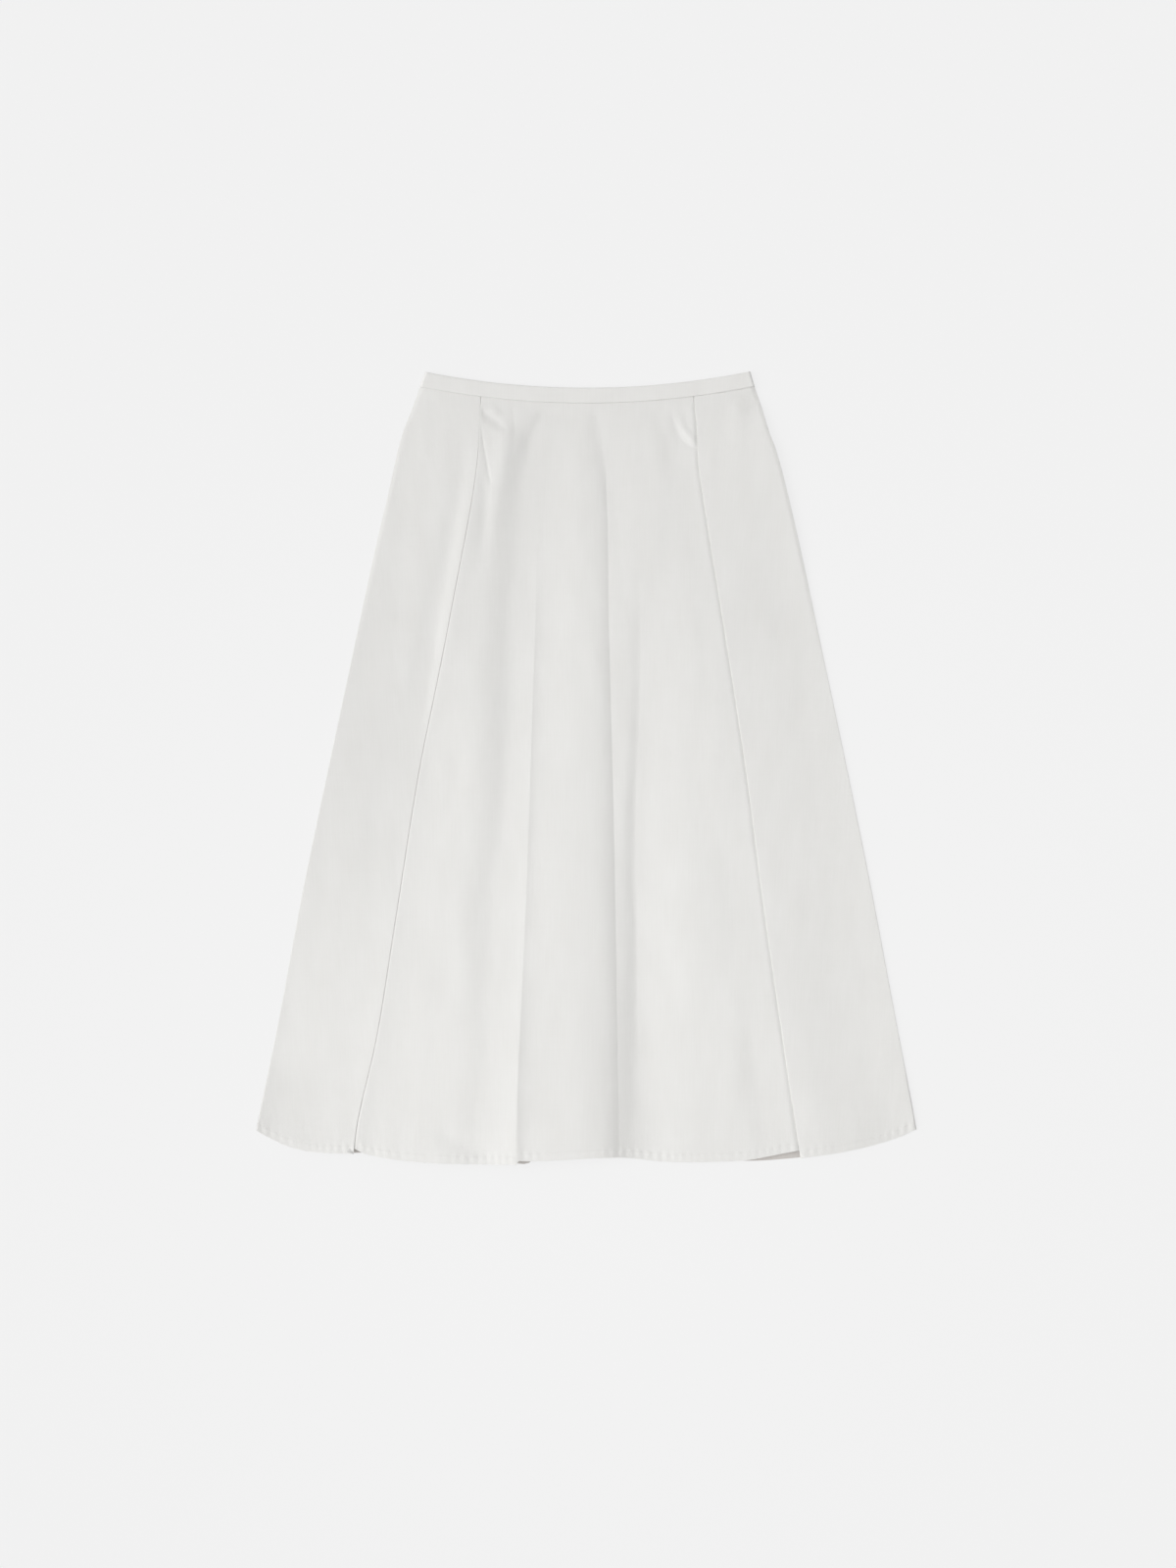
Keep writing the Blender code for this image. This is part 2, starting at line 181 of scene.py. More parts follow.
class Course:
    """A table that is followed on one smooth curve through its rows, by the place in its first column."""

    def __init__(self, rows: Sequence[Any]) -> None:
        """Keeps the table.

        Args:
            rows: The table's rows, in the order of their first column.
        """
        self.kind = type(rows[0])
        self.columns = np.array(rows, float).T

    def at(self, place: Array | float) -> Any:
        """Reads the table between its rows.

        Args:
            place: Where to read, in the terms of the first column.

        Returns:
            A row of the table's own kind that holds an array in each column.
        """
        places, *others = self.columns
        place = np.clip(place, places[0], places[-1])
        index = np.clip(np.searchsorted(places, place, side="right") - 1, 0, len(places) - 2)
        low, high = np.maximum(index - 1, 0), np.minimum(index + 2, len(places) - 1)
        span = places[index + 1] - places[index]
        share = (place - places[index]) / span
        found = [place]
        for values in others:
            first, second = values[index], values[index + 1]
            slope_in = (second - values[low]) / (places[index + 1] - places[low]) * span
            slope_out = (values[high] - first) / (places[high] - places[index]) * span
            bend = 2.0 * (first - second) + slope_in + slope_out
            turn = 3.0 * (second - first) - 2.0 * slope_in - slope_out
            found.append(first + share * (slope_in + share * (turn + share * bend)))
        return self.kind(*found)


def ease(share: Array | float) -> Array:
    """A smooth step from 0 to 1 as the share goes from 0 to 1."""
    share = np.clip(share, 0.0, 1.0)
    return share * share * (3.0 - 2.0 * share)


def bump(offset: Array, width: Array | float) -> Array:
    """A soft bump, 1 at no offset and near 0 past twice its width."""
    return np.exp(-((offset / width) ** 2))


def clustered(share: Array, pull: Array | float) -> Array:
    """Even shares drawn closer together at both ends by the pull, from 0, even, to nearly 1."""
    return share - pull * np.sin(2.0 * np.pi * share) / (2.0 * np.pi)


def normals(middle: Array) -> Array:
    """The way that each point of a grid faces, where its rows run down and its columns across."""
    normal = np.cross(np.gradient(middle, axis=0), np.gradient(middle, axis=1))
    return normal / np.linalg.norm(normal, axis=-1, keepdims=True)


class FoldShape(Enum):
    """How a fold's cross-section runs out from its line."""

    SOFT = "soft"
    CREASED = "creased"

    def profile(self, share: Array) -> Array:
        """The fold's height at a distance from its line that is given as a share of its width."""
        return np.exp(-np.abs(share)) if self is FoldShape.CREASED else np.exp(-(share**2))


@dataclass(frozen=True)
class Fold:
    """A trough or ridge that runs down the cloth."""

    rows: tuple[FoldRow, ...]
    shape: FoldShape = FoldShape.SOFT

    @classmethod
    def soft(cls, *rows: Row) -> "Fold":
        """A fold that is rounded along its line, through rows in millimetres."""
        return cls(table(FoldRow, *rows))

    @classmethod
    def creased(cls, *rows: Row) -> "Fold":
        """A fold that is sharp along its line, through rows in millimetres."""
        return cls(table(FoldRow, *rows), FoldShape.CREASED)

    def lift(self, down: Array, across: Array) -> Array:
        """How far the fold lifts the cloth, or lets it sink, at each place.

        Args:
            down: How far down each place is.
            across: How far across it is.

        Returns:
            The lift at each place, below 0 where it sinks.
        """
        course = Course(self.rows).at(down)
        offset = across - course.across
        profile = self.shape.profile(offset / np.where(offset > 0.0, course.right, course.left))
        inside = (down >= self.rows[0].down) & (down <= self.rows[-1].down)
        return np.where(inside, course.rise * profile, 0.0)


@dataclass(frozen=True)
class Crease:
    """A short trough or ridge along a path over the cloth, at any slant."""

    rows: tuple[CreaseRow, ...]
    shape: FoldShape = FoldShape.SOFT

    @classmethod
    def soft(cls, *rows: Row) -> "Crease":
        """A crease that is rounded along its path, through rows in millimetres."""
        return cls(table(CreaseRow, *rows))

    @classmethod
    def creased(cls, *rows: Row) -> "Crease":
        """A crease that is sharp along its path, through rows in millimetres."""
        return cls(table(CreaseRow, *rows), FoldShape.CREASED)

    def lift(self, down: Array, across: Array) -> Array:
        """How far the crease lifts the cloth, or lets it sink, at each place.

        Args:
            down: How far down each place is.
            across: How far across it is.

        Returns:
            The lift at each place, below 0 where it sinks.
        """
        nearest = np.full(np.shape(across), np.inf)
        total = np.zeros(np.shape(across))
        for start, end in zip(self.rows, self.rows[1:]):
            run, climb = end.across - start.across, end.down - start.down
            share = ((across - start.across) * run + (down - start.down) * climb) / (run * run + climb * climb)
            share = np.clip(share, 0.0, 1.0)
            distance = np.hypot(across - start.across - share * run, down - start.down - share * climb)
            width = start.width + share * (end.width - start.width)
            rise = start.rise + share * (end.rise - start.rise)
            total = np.where(distance < nearest, rise * self.shape.profile(distance / width), total)
            nearest = np.minimum(nearest, distance)
        return total


@dataclass(frozen=True)
class Shoulder:
    """The open centre's own fullness beside a pleat's folded edge, where it comes up again from under it."""

    rows: tuple[ShoulderRow, ...]

    @classmethod
    def through(cls, *rows: Row) -> "Shoulder":
        """A shoulder through rows in millimetres."""
        return cls(table(ShoulderRow, *rows))

    def lift(self, down: Array, distance: Array) -> Array:
        """How far the shoulder lifts the cloth at a distance from the folded edge."""
        course = Course(self.rows).at(down)
        return course.rise * (1.0 - bump(distance, course.foot)) * np.exp(-distance / course.run)


@dataclass(frozen=True)
class Unevenness:
    """The slight waves that any cloth keeps: many faint ones, in set but irregular directions."""

    seed: int
    waves: int
    height: float
    shortest: float
    longest: float
    stretch: float
    most_slant: float = 1.2

    def lift(self, down: Array, across: Array) -> Array:
        """The waves' sum at each place. They are longer down the cloth than across it by the stretch.

        Args:
            down: How far down each place is.
            across: How far across it is.

        Returns:
            The lift at each place, up or down.
        """
        random = np.random.default_rng(self.seed)
        total = np.zeros(np.shape(across))
        for _ in range(self.waves):
            pitch = 2.0 * np.pi / random.uniform(self.shortest, self.longest)
            slant = random.uniform(-self.most_slant, self.most_slant)
            start = random.uniform(0.0, 2.0 * np.pi)
            total += np.sin(pitch * (across * math.cos(slant) + down * math.sin(slant) / self.stretch) + start)
        return total * self.height * math.sqrt(2.0 / self.waves)


@dataclass(frozen=True)
class Fan:
    """The fan that the cloth lies on, as it stands in the solids' own frame."""

    waist_radius: float = 0.874
    middle_x: float = -0.000132
    middle_y: float = 1.275151

    def place(self, down: Array, across: Array, height: Array) -> Array:
        """Points in space for places on the fan, with x, y and z along the last axis.

        Args:
            down: How far down each place is.
            across: How far across it is.
            height: How high it is.

        Returns:
            The points.
        """
        radius = self.waist_radius + down
        angle = across / radius
        x, y = self.middle_x + radius * np.sin(angle), self.middle_y - radius * np.cos(angle)
        return np.stack(np.broadcast_arrays(x, y, height), axis=-1)


@dataclass(frozen=True)
class Lay:
    """How the layers of cloth lie on each other, and how they clear the hem's folded edge."""

    lowest: float = 0.0018
    layer: float = 0.00045
    hem_ply: float = 0.0007
    fold_radius: float = 0.00023
    hem_start: float = 0.755
    hem_run: float = 0.022
    band_edge: float = 0.0165
    entry: float = 0.0021
    entry_step: float = 0.0003
    pleat_steps: float = 4.0

    def hem_share(self, down: Array) -> Array:
        """How far the hem's double thickness has taken over, from 0 above it to 1 beside it."""
        return ease((down - self.hem_start) / self.hem_run)

    def pitch(self, down: Array) -> Array:
        """The height from one layer of the front to the next that lies on it."""
        return self.layer + self.hem_ply * self.hem_share(down)

    def rest(self, down: Array) -> Array:
        """The height of the front's lowest layer where it lies on the back."""
        return self.lowest + self.hem_ply * self.hem_share(down)

    def entered(self, steps: Array | float) -> Array | float:
        """The height inside the waistband of a layer that lies this many steps above the lowest one."""
        return self.entry + self.entry_step * steps


FAN = Fan()
LAY = Lay()
OUTLINE_COURSE = Course(OUTLINE)
GUIDE_COURSE = Course(GUIDES)
DOME_COURSE = Course(DOME)
HEM_TURN = 0.0090
HEM_DOWN = 0.825
STITCH_ABOVE_HEM = 0.0082
CURL_RUN = 0.03
HEM_ROWS = (
    0.0400, 0.0360, 0.0320, 0.0285, 0.0250, 0.0220, 0.0190, 0.0165, 0.0145, 0.0128, 0.0114, 0.0103, 0.0095,
    0.0089, 0.0085, 0.0082, 0.0079, 0.0074, 0.0067, 0.0057, 0.0046, 0.0035, 0.0025, 0.0016, 0.0010, 0.0006,
    0.0003, 0.0001, 0.0000,
)


@dataclass(frozen=True)
class ClothWall:
    """The cloth's own thickness, and the plies that a turned-up hem adds on its wrong side."""

    cloth: float = 0.00040
    hem_plies: float = 0.00050
    ply_edge: float = 0.0008
    least_taper: float = 0.12
    seam_columns: tuple[float, ...] = (0.25, 0.7)

    def build(
        self, name: str, middle: Array, above_hem: Array, turned: Array, flat: Array, wrong_side: float = -1.0
    ) -> Any:
        """Makes a closed wall of cloth round its right-side grid.

        Args:
            name: The piece's name.
            middle: The grid of points through the middle of the single cloth, rows from the waist to the hem.
            above_hem: How far above the hem's edge each point is.
            turned: How much of the hem's turned-up plies each point takes, from 0 inside a pleat to 1.
            flat: Each point's place on the flat cut, for the weave.
            wrong_side: -1 where the wrong side faces against the grid's own normal, or 1 where it faces along it.

        Returns:
            The new object.
        """
        normal = normals(middle)
        half = 0.5 * self.cloth
        plies = self.hem_plies * turned * ease((HEM_TURN - above_hem) / self.ply_edge)
        rounding = np.clip(above_hem / (half + 0.5 * plies), 0.0, 1.0)
        taper = np.maximum(np.sqrt(1.0 - (1.0 - rounding) ** 2), self.least_taper)
        for column, share in enumerate(self.seam_columns):
            taper[:, column] *= share
            taper[:, -1 - column] *= share
        right = -wrong_side * (half * taper)[..., None] * normal
        wrong = wrong_side * ((half + plies) * taper)[..., None] * normal
        upper, lower = (right, wrong) if wrong_side < 0.0 else (wrong, right)
        return wall_object(name, middle + upper, middle + lower, flat)


def wall_object(name: str, upper: Array, lower: Array, flat: Array) -> Any:
    """Makes a closed wall between two grids of points.

    Args:
        name: The object's name.
        upper: The grid on the side that the rows and columns face, with rows running down and columns across.
        lower: The grid on the other side.
        flat: Each grid point's place on the flat cut, in metres.

    Returns:
        The new object, with smooth shading and a "cloth" map.
    """
    rows, columns = upper.shape[:2]
    top = np.arange(rows * columns).reshape(rows, columns)
    low = top + rows * columns

    def quads(*corners: Array) -> Array:
        """The faces that these arrays of corners name."""
        return np.stack(corners, axis=-1).reshape(-1, 4)

    faces = np.concatenate(
        [
            quads(top[:-1, :-1], top[1:, :-1], top[1:, 1:], top[:-1, 1:]),
            quads(low[:-1, 1:], low[1:, 1:], low[1:, :-1], low[:-1, :-1]),
            quads(top[:-1, 0], low[:-1, 0], low[1:, 0], top[1:, 0]),
            quads(top[1:, -1], low[1:, -1], low[:-1, -1], top[:-1, -1]),
            quads(top[0, 1:], low[0, 1:], low[0, :-1], top[0, :-1]),
            quads(top[-1, :-1], low[-1, :-1], low[-1, 1:], top[-1, 1:]),
        ]
    )
    points = np.concatenate([upper.reshape(-1, 3), lower.reshape(-1, 3)])
    mesh = bpy.data.meshes.new(name)
    mesh.from_pydata(points.tolist(), [], faces.tolist())
    places = np.tile(flat.reshape(-1, 2), (2, 1))[faces.reshape(-1)]
    mesh.uv_layers.new(name="cloth").uv.foreach_set("vector", places.astype(np.float32).ravel())
    mesh.shade_smooth()
    placed = bpy.data.objects.new(name, mesh)
    bpy.context.scene.collection.objects.link(placed)
    return placed


class Value:
    """A socket that is written in sums: each +, - or * adds a Math node."""

    def __init__(self, nodes: "Nodes", socket: Any) -> None:
        """Wraps a socket of a material that is being built."""
        self.nodes = nodes
        self.socket = socket

    def _math(self, operation: str, first: Any, second: Any) -> "Value":
        """A Math node's result on two values."""
        return self.nodes.add("ShaderNodeMath", {"operation": operation}, {0: first, 1: second})

    def __add__(self, other: Any) -> "Value":
        """This value and another."""
        return self._math("ADD", self, other)

    def __radd__(self, other: Any) -> "Value":
        """A number and this value."""
        return self._math("ADD", other, self)

    def __sub__(self, other: Any) -> "Value":
        """This value less another."""
        return self._math("SUBTRACT", self, other)

    def __rsub__(self, other: Any) -> "Value":
        """A number less this value."""
        return self._math("SUBTRACT", other, self)

    def __mul__(self, other: Any) -> "Value":
        """This value times another."""
        return self._math("MULTIPLY", self, other)

    def __rmul__(self, other: Any) -> "Value":
        """A number times this value."""
        return self._math("MULTIPLY", other, self)

    def sine(self) -> "Value":
        """The sine of this value."""
        return self._math("SINE", self, 0.0)


class Nodes:
    """The nodes of one new material, round its Principled shader."""

    def __init__(self, name: str) -> None:
        """Makes the material.

        Args:
            name: The material's name.
        """
        self.material = bpy.data.materials.new(name)
        self.material.use_nodes = True
        self.tree = self.material.node_tree
        self.shader = self.tree.nodes["Principled BSDF"]

    def fill(self, node: Any, sockets: dict[Any, Any]) -> None:
        """Sets or links a node's inputs, by name or number.

        Args:
            node: The node.
            sockets: A value or a link for each input.
        """
        for key, value in sockets.items():
            if isinstance(value, Value):
                self.tree.links.new(value.socket, node.inputs[key])
            else:
                node.inputs[key].default_value = value

    def add(self, kind: str, settings: dict[str, Any], sockets: dict[Any, Any], output: Any = 0) -> Value:
        """Adds a node.

        Args:
            kind: The node's type.
            settings: Its settings, which are set first.
            sockets: Values or links for its inputs.
            output: The name or number of the output that is wanted.

        Returns:
            That output.
        """
        node = self.tree.nodes.new(kind)
        for key, value in settings.items():
            setattr(node, key, value)
        self.fill(node, sockets)
        return Value(self, node.outputs[output])

    def noise(self, place: Value, scale: tuple[float, float, float], detail: float) -> Value:
        """A noise from 0 to 1 over a place that is scaled along each axis."""
        mapped = self.add("ShaderNodeMapping", {}, {"Vector": place, "Scale": scale})
        return self.add("ShaderNodeTexNoise", {}, {"Vector": mapped, "Scale": 1.0, "Detail": detail}, "Fac")

    def blend(self, factor: Value, first: Sequence[float], second: Sequence[float]) -> Value:
        """A colour between two others."""
        settings = {"data_type": "RGBA", "clamp_factor": True}
        return self.add("ShaderNodeMix", settings, {0: factor, 6: (*first, 1.0), 7: (*second, 1.0)}, 2)

    def dress(self, colour: Any, roughness: Any, height: Value, constants: dict[str, Any]) -> Any:
        """Finishes the shader.

        Args:
            colour: What goes to the base colour.
            roughness: What goes to the roughness.
            height: The relief, in metres.
            constants: Plain values for other sockets.

        Returns:
            The material.
        """
        normal = self.add("ShaderNodeBump", {}, {"Strength": 1.0, "Distance": 1.0, "Height": height}, "Normal")
        self.fill(self.shader, {"Base Color": colour, "Roughness": roughness, "Normal": normal, **constants})
        return self.material


@dataclass(frozen=True)
class ClothFinish:
    """Plain-woven cotton with upright slubs, faint mottling and a soft, slightly fuzzy surface."""

    name: str
    light: tuple[float, float, float] = (0.848, 0.845, 0.828)
    shade: tuple[float, float, float] = (0.775, 0.767, 0.744)
    thread_pitch: float = 0.00042
    thread_relief: float = 0.000018
    slub_width: float = 0.0013
    slub_length: float = 0.045
    slub_relief: float = 0.000030
    fine_slubs: tuple[float, float] = (3.1, 1.7)
    picks: tuple[float, float] = (0.6, 0.9)
    mottle_patches: tuple[float, float] = (38.0, 16.0)
    slub_tone: float = 0.5
    fine_slub_tone: float = 0.3
    pick_tone: float = 0.15
    mottle_tone: float = 0.6
    tone_offset: float = 0.28
    crumple_size: float = 0.016
    crumple_stretch: float = 0.45
    crumple_relief: float = 0.00022
    roughness: float = 0.82
    slub_roughness: float = 0.08
    sheen: float = 0.12

    def material(self) -> Any:
        """Builds the material over the cloth's own map.

        Returns:
            The material.
        """
        nodes = Nodes(self.name)
        place = nodes.add("ShaderNodeUVMap", {"uv_map": "cloth"}, {})
        run = nodes.add("ShaderNodeSeparateXYZ", {}, {0: place}, "X")
        fall = nodes.add("ShaderNodeSeparateXYZ", {}, {0: place}, "Y")
        turn = 2.0 * math.pi / self.thread_pitch
        weave = (run * turn).sine() * (fall * turn).sine()
        across, along = 1.0 / self.slub_width, 1.0 / self.slub_length
        slubs = nodes.noise(place, (across, along, 1.0), 2.0)
        fine_slubs = nodes.noise(place, (self.fine_slubs[0] * across, self.fine_slubs[1] * along, 1.0), 1.0)
        picks = nodes.noise(place, (self.picks[0] * along, self.picks[1] * across, 1.0), 1.0)
        mottle = nodes.noise(place, (*self.mottle_patches, 1.0), 2.0)
        crumple = nodes.noise(place, (1.0 / self.crumple_size, self.crumple_stretch / self.crumple_size, 1.0), 3.0)
        threads = slubs * self.slub_tone + fine_slubs * self.fine_slub_tone + picks * self.pick_tone
        tone = threads + mottle * self.mottle_tone - self.tone_offset
        height = (
            weave * self.thread_relief
            + (slubs + fine_slubs * 0.5 + picks * 0.5) * self.slub_relief
            + crumple * self.crumple_relief
        )
        colour = nodes.blend(tone, self.shade, self.light)
        constants = {"Specular IOR Level": 0.25, "Sheen Weight": self.sheen, "Sheen Roughness": 0.6}
        return nodes.dress(colour, slubs * self.slub_roughness + self.roughness, height, constants)


@dataclass(frozen=True)
class ThreadFinish:
    """White spun sewing thread, with its twist, its colour painted darker in the twist's grooves as shade."""

    name: str
    light: tuple[float, float, float] = (0.88, 0.87, 0.85)
    shade: tuple[float, float, float] = (0.74, 0.73, 0.71)
    twist_pitch: float = 0.0004
    twist_relief: float = 0.00003
    roughness: float = 0.7

    def material(self) -> Any:
        """Builds the material over the thread's place in space.

        Returns:
            The material.
        """
        nodes = Nodes(self.name)
        place = nodes.add("ShaderNodeTexCoord", {}, {}, "Object")
        run = nodes.add("ShaderNodeSeparateXYZ", {}, {0: place}, "X")
        fall = nodes.add("ShaderNodeSeparateXYZ", {}, {0: place}, "Y")
        twist = ((run + fall) * (2.0 * math.pi / self.twist_pitch)).sine()
        # The colour is darker in the twist's grooves, where the relief is low: painted shade.
        return nodes.dress(
            nodes.blend(twist * 0.5 + 0.5, self.shade, self.light),
            twist * 0.05 + self.roughness,
            twist * self.twist_relief,
            {"Sheen Weight": 0.1, "Specular IOR Level": 0.3},
        )


@dataclass(frozen=True)
class FloorFinish:
    """A plain pale studio floor."""

    name: str = "floor_paint"
    colour: tuple[float, float, float] = (0.15, 0.15, 0.15)
    grain_scale: float = 400.0
    grain_tone: float = 0.995
    grain_relief: float = 0.00001
    roughness: float = 0.95
    glow: float = 0.745

    def material(self) -> Any:
        """Builds the material.

        Returns:
            The material.
        """
        nodes = Nodes(self.name)
        place = nodes.add("ShaderNodeTexCoord", {}, {}, "Object")
        grain = nodes.noise(place, (self.grain_scale, self.grain_scale, self.grain_scale), 1.0)
        darker = tuple(self.grain_tone * part for part in self.colour)
        colour = nodes.blend(grain, darker, self.colour)
        glow = {"Emission Color": (1.0, 1.0, 1.0, 1.0), "Emission Strength": self.glow, "Specular IOR Level": 0.0}
        return nodes.dress(colour, self.roughness, grain * self.grain_relief, glow)


class Layer(Enum):
    """The stretches of the front's one cut piece, from a side seam in to the open centre."""

    SIDE = "side panel"
    EDGE = "folded edge"
    UNDERLAY = "underlay"
    INNER = "inner fold"
    TUCKED = "tucked under the pleat"
    CENTRE = "open centre"


@dataclass(frozen=True)
class Run:
    """Neighbouring columns of the front that lie in one layer."""

    layer: Layer
    side: int
    shares: Array


SHOULDERS = (
    # Beside the left pleat.
    Shoulder.through(
        (17, 0.9, 0.18, 30),
        (55, 0.9, 0.18, 30),
        (80, 0.8, 0.5, 30),
        (240, 0.8, 0.9, 24),
        (420, 0.9, 1.1, 13),
        (750, 0.95, 1.1, 13),
        (780, 2, 0.7, 14),
    ),
    # Beside the right pleat.
    Shoulder.through(
        (17, 0.8, 1.4, 30),
        (27, 1.1, 2.2, 25),
        (45, 1.3, 2.6, 25),
        (70, 1.2, 2.6, 25),
        (84, 1, 2.4, 30),
        (750, 1, 2.4, 30),
        (780, 1.3, 2.4, 30),
    ),
)
FOLDS = (
    # The broad trough of the centre, left of its ridge.
    Fold.soft(
        (10, -36, -1.2, 12, 50),
        (35, -44, -3, 12, 50),
        (60, -52, -4.4, 16, 50),
        (140, -59, -5.2, 26, 50),
        (240, -69, -7.4, 29, 68),
        (340, -75, -7.2, 26, 68),
        (440, -84, -5.2, 21, 60),
        (540, -95, -4.4, 22, 56),
        (640, -98, -3.4, 22, 50),
        (740, -100, -2.8, 26, 44),
        (830, -104, -6.8, 38, 40),
    ),
    # The ridge that ends at the small slit in the hem.
    Fold.creased(
        (150, -52, 0, 24, 6),
        (240, -53.5, 1.2, 30, 6),
        (340, -57, 1.8, 44, 7),
        (440, -60, 1.9, 44, 7),
        (540, -63.5, 2, 48, 8),
        (640, -68, 3, 52, 11),
        (740, -72.5, 4.6, 68, 12),
        (830, -73.5, 5, 70, 14),
    ),
    # The long crease down the middle.
    Fold.creased(
        (10, 4, -0.5, 12, 50),
        (56, 17, -4, 13, 50),
        (150, 22.5, -3.6, 14, 40),
        (240, 23.5, -3.6, 14, 60),
        (340, 26, -4.4, 14, 70),
        (440, 28.5, -4.5, 14, 60),
        (540, 30.5, -3.9, 14, 80),
        (640, 32, -3.8, 16, 90),
        (740, 33.5, -3.2, 16, 100),
        (830, 35, -2.5, 17, 100),
    ),
    # The steep trough to its right.
    Fold.soft(
        (170, 58, 0, 8, 50),
        (240, 58, -1, 8, 50),
        (340, 57, -2, 7, 50),
        (440, 53, -2.8, 8, 60),
        (540, 54, -2.4, 8, 60),
        (640, 55, -2.2, 9, 60),
        (740, 57, -0.8, 12, 60),
        (800, 60, 0, 12, 60),
    ),
    # The wide hollow that both of them open into above the hem.
    Fold.soft(
        (580, 64, 0, 30, 100),
        (640, 66, -2.6, 36, 100),
        (700, 70, -5.6, 42, 110),
        (760, 74, -7.6, 46, 120),
        (830, 79, -8, 48, 120),
    ),
    # The shallow trough that joins them from above.
    Fold.soft(
        (90, 26, 0, 7, 40),
        (140, 33, -0.9, 8, 40),
        (190, 44, -1, 16, 40),
        (240, 53, -1.5, 22, 40),
        (340, 55, -2, 22, 40),
        (440, 51, -1.8, 20, 40),
        (540, 51, -3.8, 20, 40),
        (640, 52, -3.3, 20, 40),
        (740, 52, -3, 18, 40),
        (830, 52, -3.4, 18, 40),
    ),
    # The short fold from the waistband towards the right pleat.
    Fold.soft(
        (10, 72, -0.6, 9, 30),
        (40, 80, -0.9, 10, 30),
        (66, 88, -1.2, 11, 30),
        (140, 104, -0.9, 20, 30),
        (210, 124, 0, 20, 20),
    ),
    # The faint trough along the right pleat.
    Fold.soft(
        (440, 140, 0, 14, 30),
        (540, 156, -0.8, 14, 30),
        (664, 170, -0.4, 14, 30),
        (740, 185, -1.8, 18, 34),
        (830, 200, -1.4, 20, 34),
    ),
    # The small ridge beside the top of the left pleat.
    Fold.soft(
        (36, -88, 0, 14, 7),
        (58, -87, 1.9, 11, 14),
        (100, -90, 1.5, 12, 10),
        (134, -97, 1, 10, 10),
        (170, -100, 0, 10, 10),
    ),
    # The upper part of the left pleat's full edge.
    Fold.soft(
        (40, -113, 0, 12, 12),
        (80, -115, 0.6, 11, 12),
        (140, -124, 1, 11, 12),
        (240, -143, 0.8, 12, 13),
        (340, -162, 0.3, 12, 14),
        (440, -181, 0, 13, 16),
    ),
    # The lower part of that edge.
    Fold.soft(
        (560, -200, 0, 13, 14),
        (640, -212, 0.6, 13, 14),
        (740, -231, 0.7, 13, 14),
        (830, -247, 0.4, 13, 14),
    ),
    # The groove along it.
    Fold.soft(
        (70, -126, 0, 10, 9),
        (140, -138, -1.2, 10, 9),
        (240, -157, -2, 12, 10),
        (340, -175, -2, 13, 10),
        (420, -191, 0, 16, 12),
    ),
    # The wide hollow of the left panel.
    Fold.soft(
        (180, -150, 0, 60, 60),
        (340, -172, -1.8, 65, 60),
        (440, -190, -3.2, 70, 60),
        (540, -206, -2, 70, 60),
        (640, -220, 0, 70, 60),
    ),
    # The upper hollow of the right panel.
    Fold.soft(
        (80, 196, 0, 30, 30),
        (220, 220, -1, 32, 30),
        (360, 250, 0, 34, 30),
    ),
    # The lower hollow of the right panel.
    Fold.soft(
        (400, 240, 0, 34, 40),
        (620, 280, -1.6, 40, 40),
        (830, 300, -1.4, 44, 40),
    ),
)
CREASES = (
    # The crease that slants away from the left pleat.
    Crease.creased(
        (44, -112.5, 0, 2),
        (56, -110.5, -0.6, 2),
        (83, -105.8, -1, 2.6),
        (104, -101.8, -0.8, 2.6),
        (112, -101, 0, 2),
    ),
    # The level dent above it.
    Crease.soft(
        (30, -114, -0.8, 4),
        (36, -104, -1.3, 5),
        (43, -93, -1.1, 5),
        (50, -82, 0, 5),
    ),
    # The upright dent below it.
    Crease.soft(
        (90, -108, 0, 6),
        (125, -106, -1, 6),
        (155, -107, -1.2, 7),
        (200, -114, 0, 9),
    ),
    # The small ridge over the level dent.
    Crease.soft(
        (22, -100, 0, 5),
        (30, -96, 0.8, 5),
        (36, -88, 0, 4),
    ),
    # The fine crease down the broad trough's left side.
    Crease.creased(
        (20, -78, -0.3, 3),
        (49, -76, -0.4, 3),
        (86, -80, -0.2, 4),
        (112, -86, 0, 4),
    ),
    # The curved crease at the top of the right pleat.
    Crease.creased(
        (24, 89.5, 0, 2.4),
        (38, 91, -0.9, 2.4),
        (50, 95.5, -1.5, 2.4),
        (57, 99, -1.7, 2.4),
        (63, 103.5, -1.7, 2.4),
        (68, 110, -1.5, 2.4),
        (71, 117, -1, 2.4),
    ),
    # The bulge inside its curve.
    Crease.soft(
        (30, 98, 0, 4),
        (44, 100.5, 0.8, 4),
        (53, 105, 1.1, 4),
        (61, 111.5, 1, 4),
        (65, 116, 0.6, 4),
    ),
    # The dent over the hem, left of the ridge.
    Crease.soft(
        (770, -160, 0, 12),
        (797, -146, -1.6, 12),
        (812, -104, -1, 10),
        (816, -90, 0, 10),
    ),
)
CURLS = (
    # The bottom left corner.
    Fold.soft(
        (745, -366, 0, 50, 40),
        (790, -370, 7.4, 50, 44),
        (835, -374, 12.2, 50, 44),
    ),
    # The left edge, half-way down.
    Fold.soft(
        (140, -236, 0, 60, 50),
        (240, -262, 3.4, 60, 55),
        (340, -284, 5, 60, 68),
        (440, -304, 7.2, 60, 85),
        (540, -324, 4.6, 60, 75),
        (660, -350, 0, 60, 60),
    ),
    # The right edge, near the waist.
    Fold.soft(
        (10, 205, 0, 60, 50),
        (60, 220, 5.6, 68, 50),
        (140, 238, 5, 68, 50),
        (240, 262, 2, 64, 50),
        (320, 280, 0, 48, 50),
    ),
)


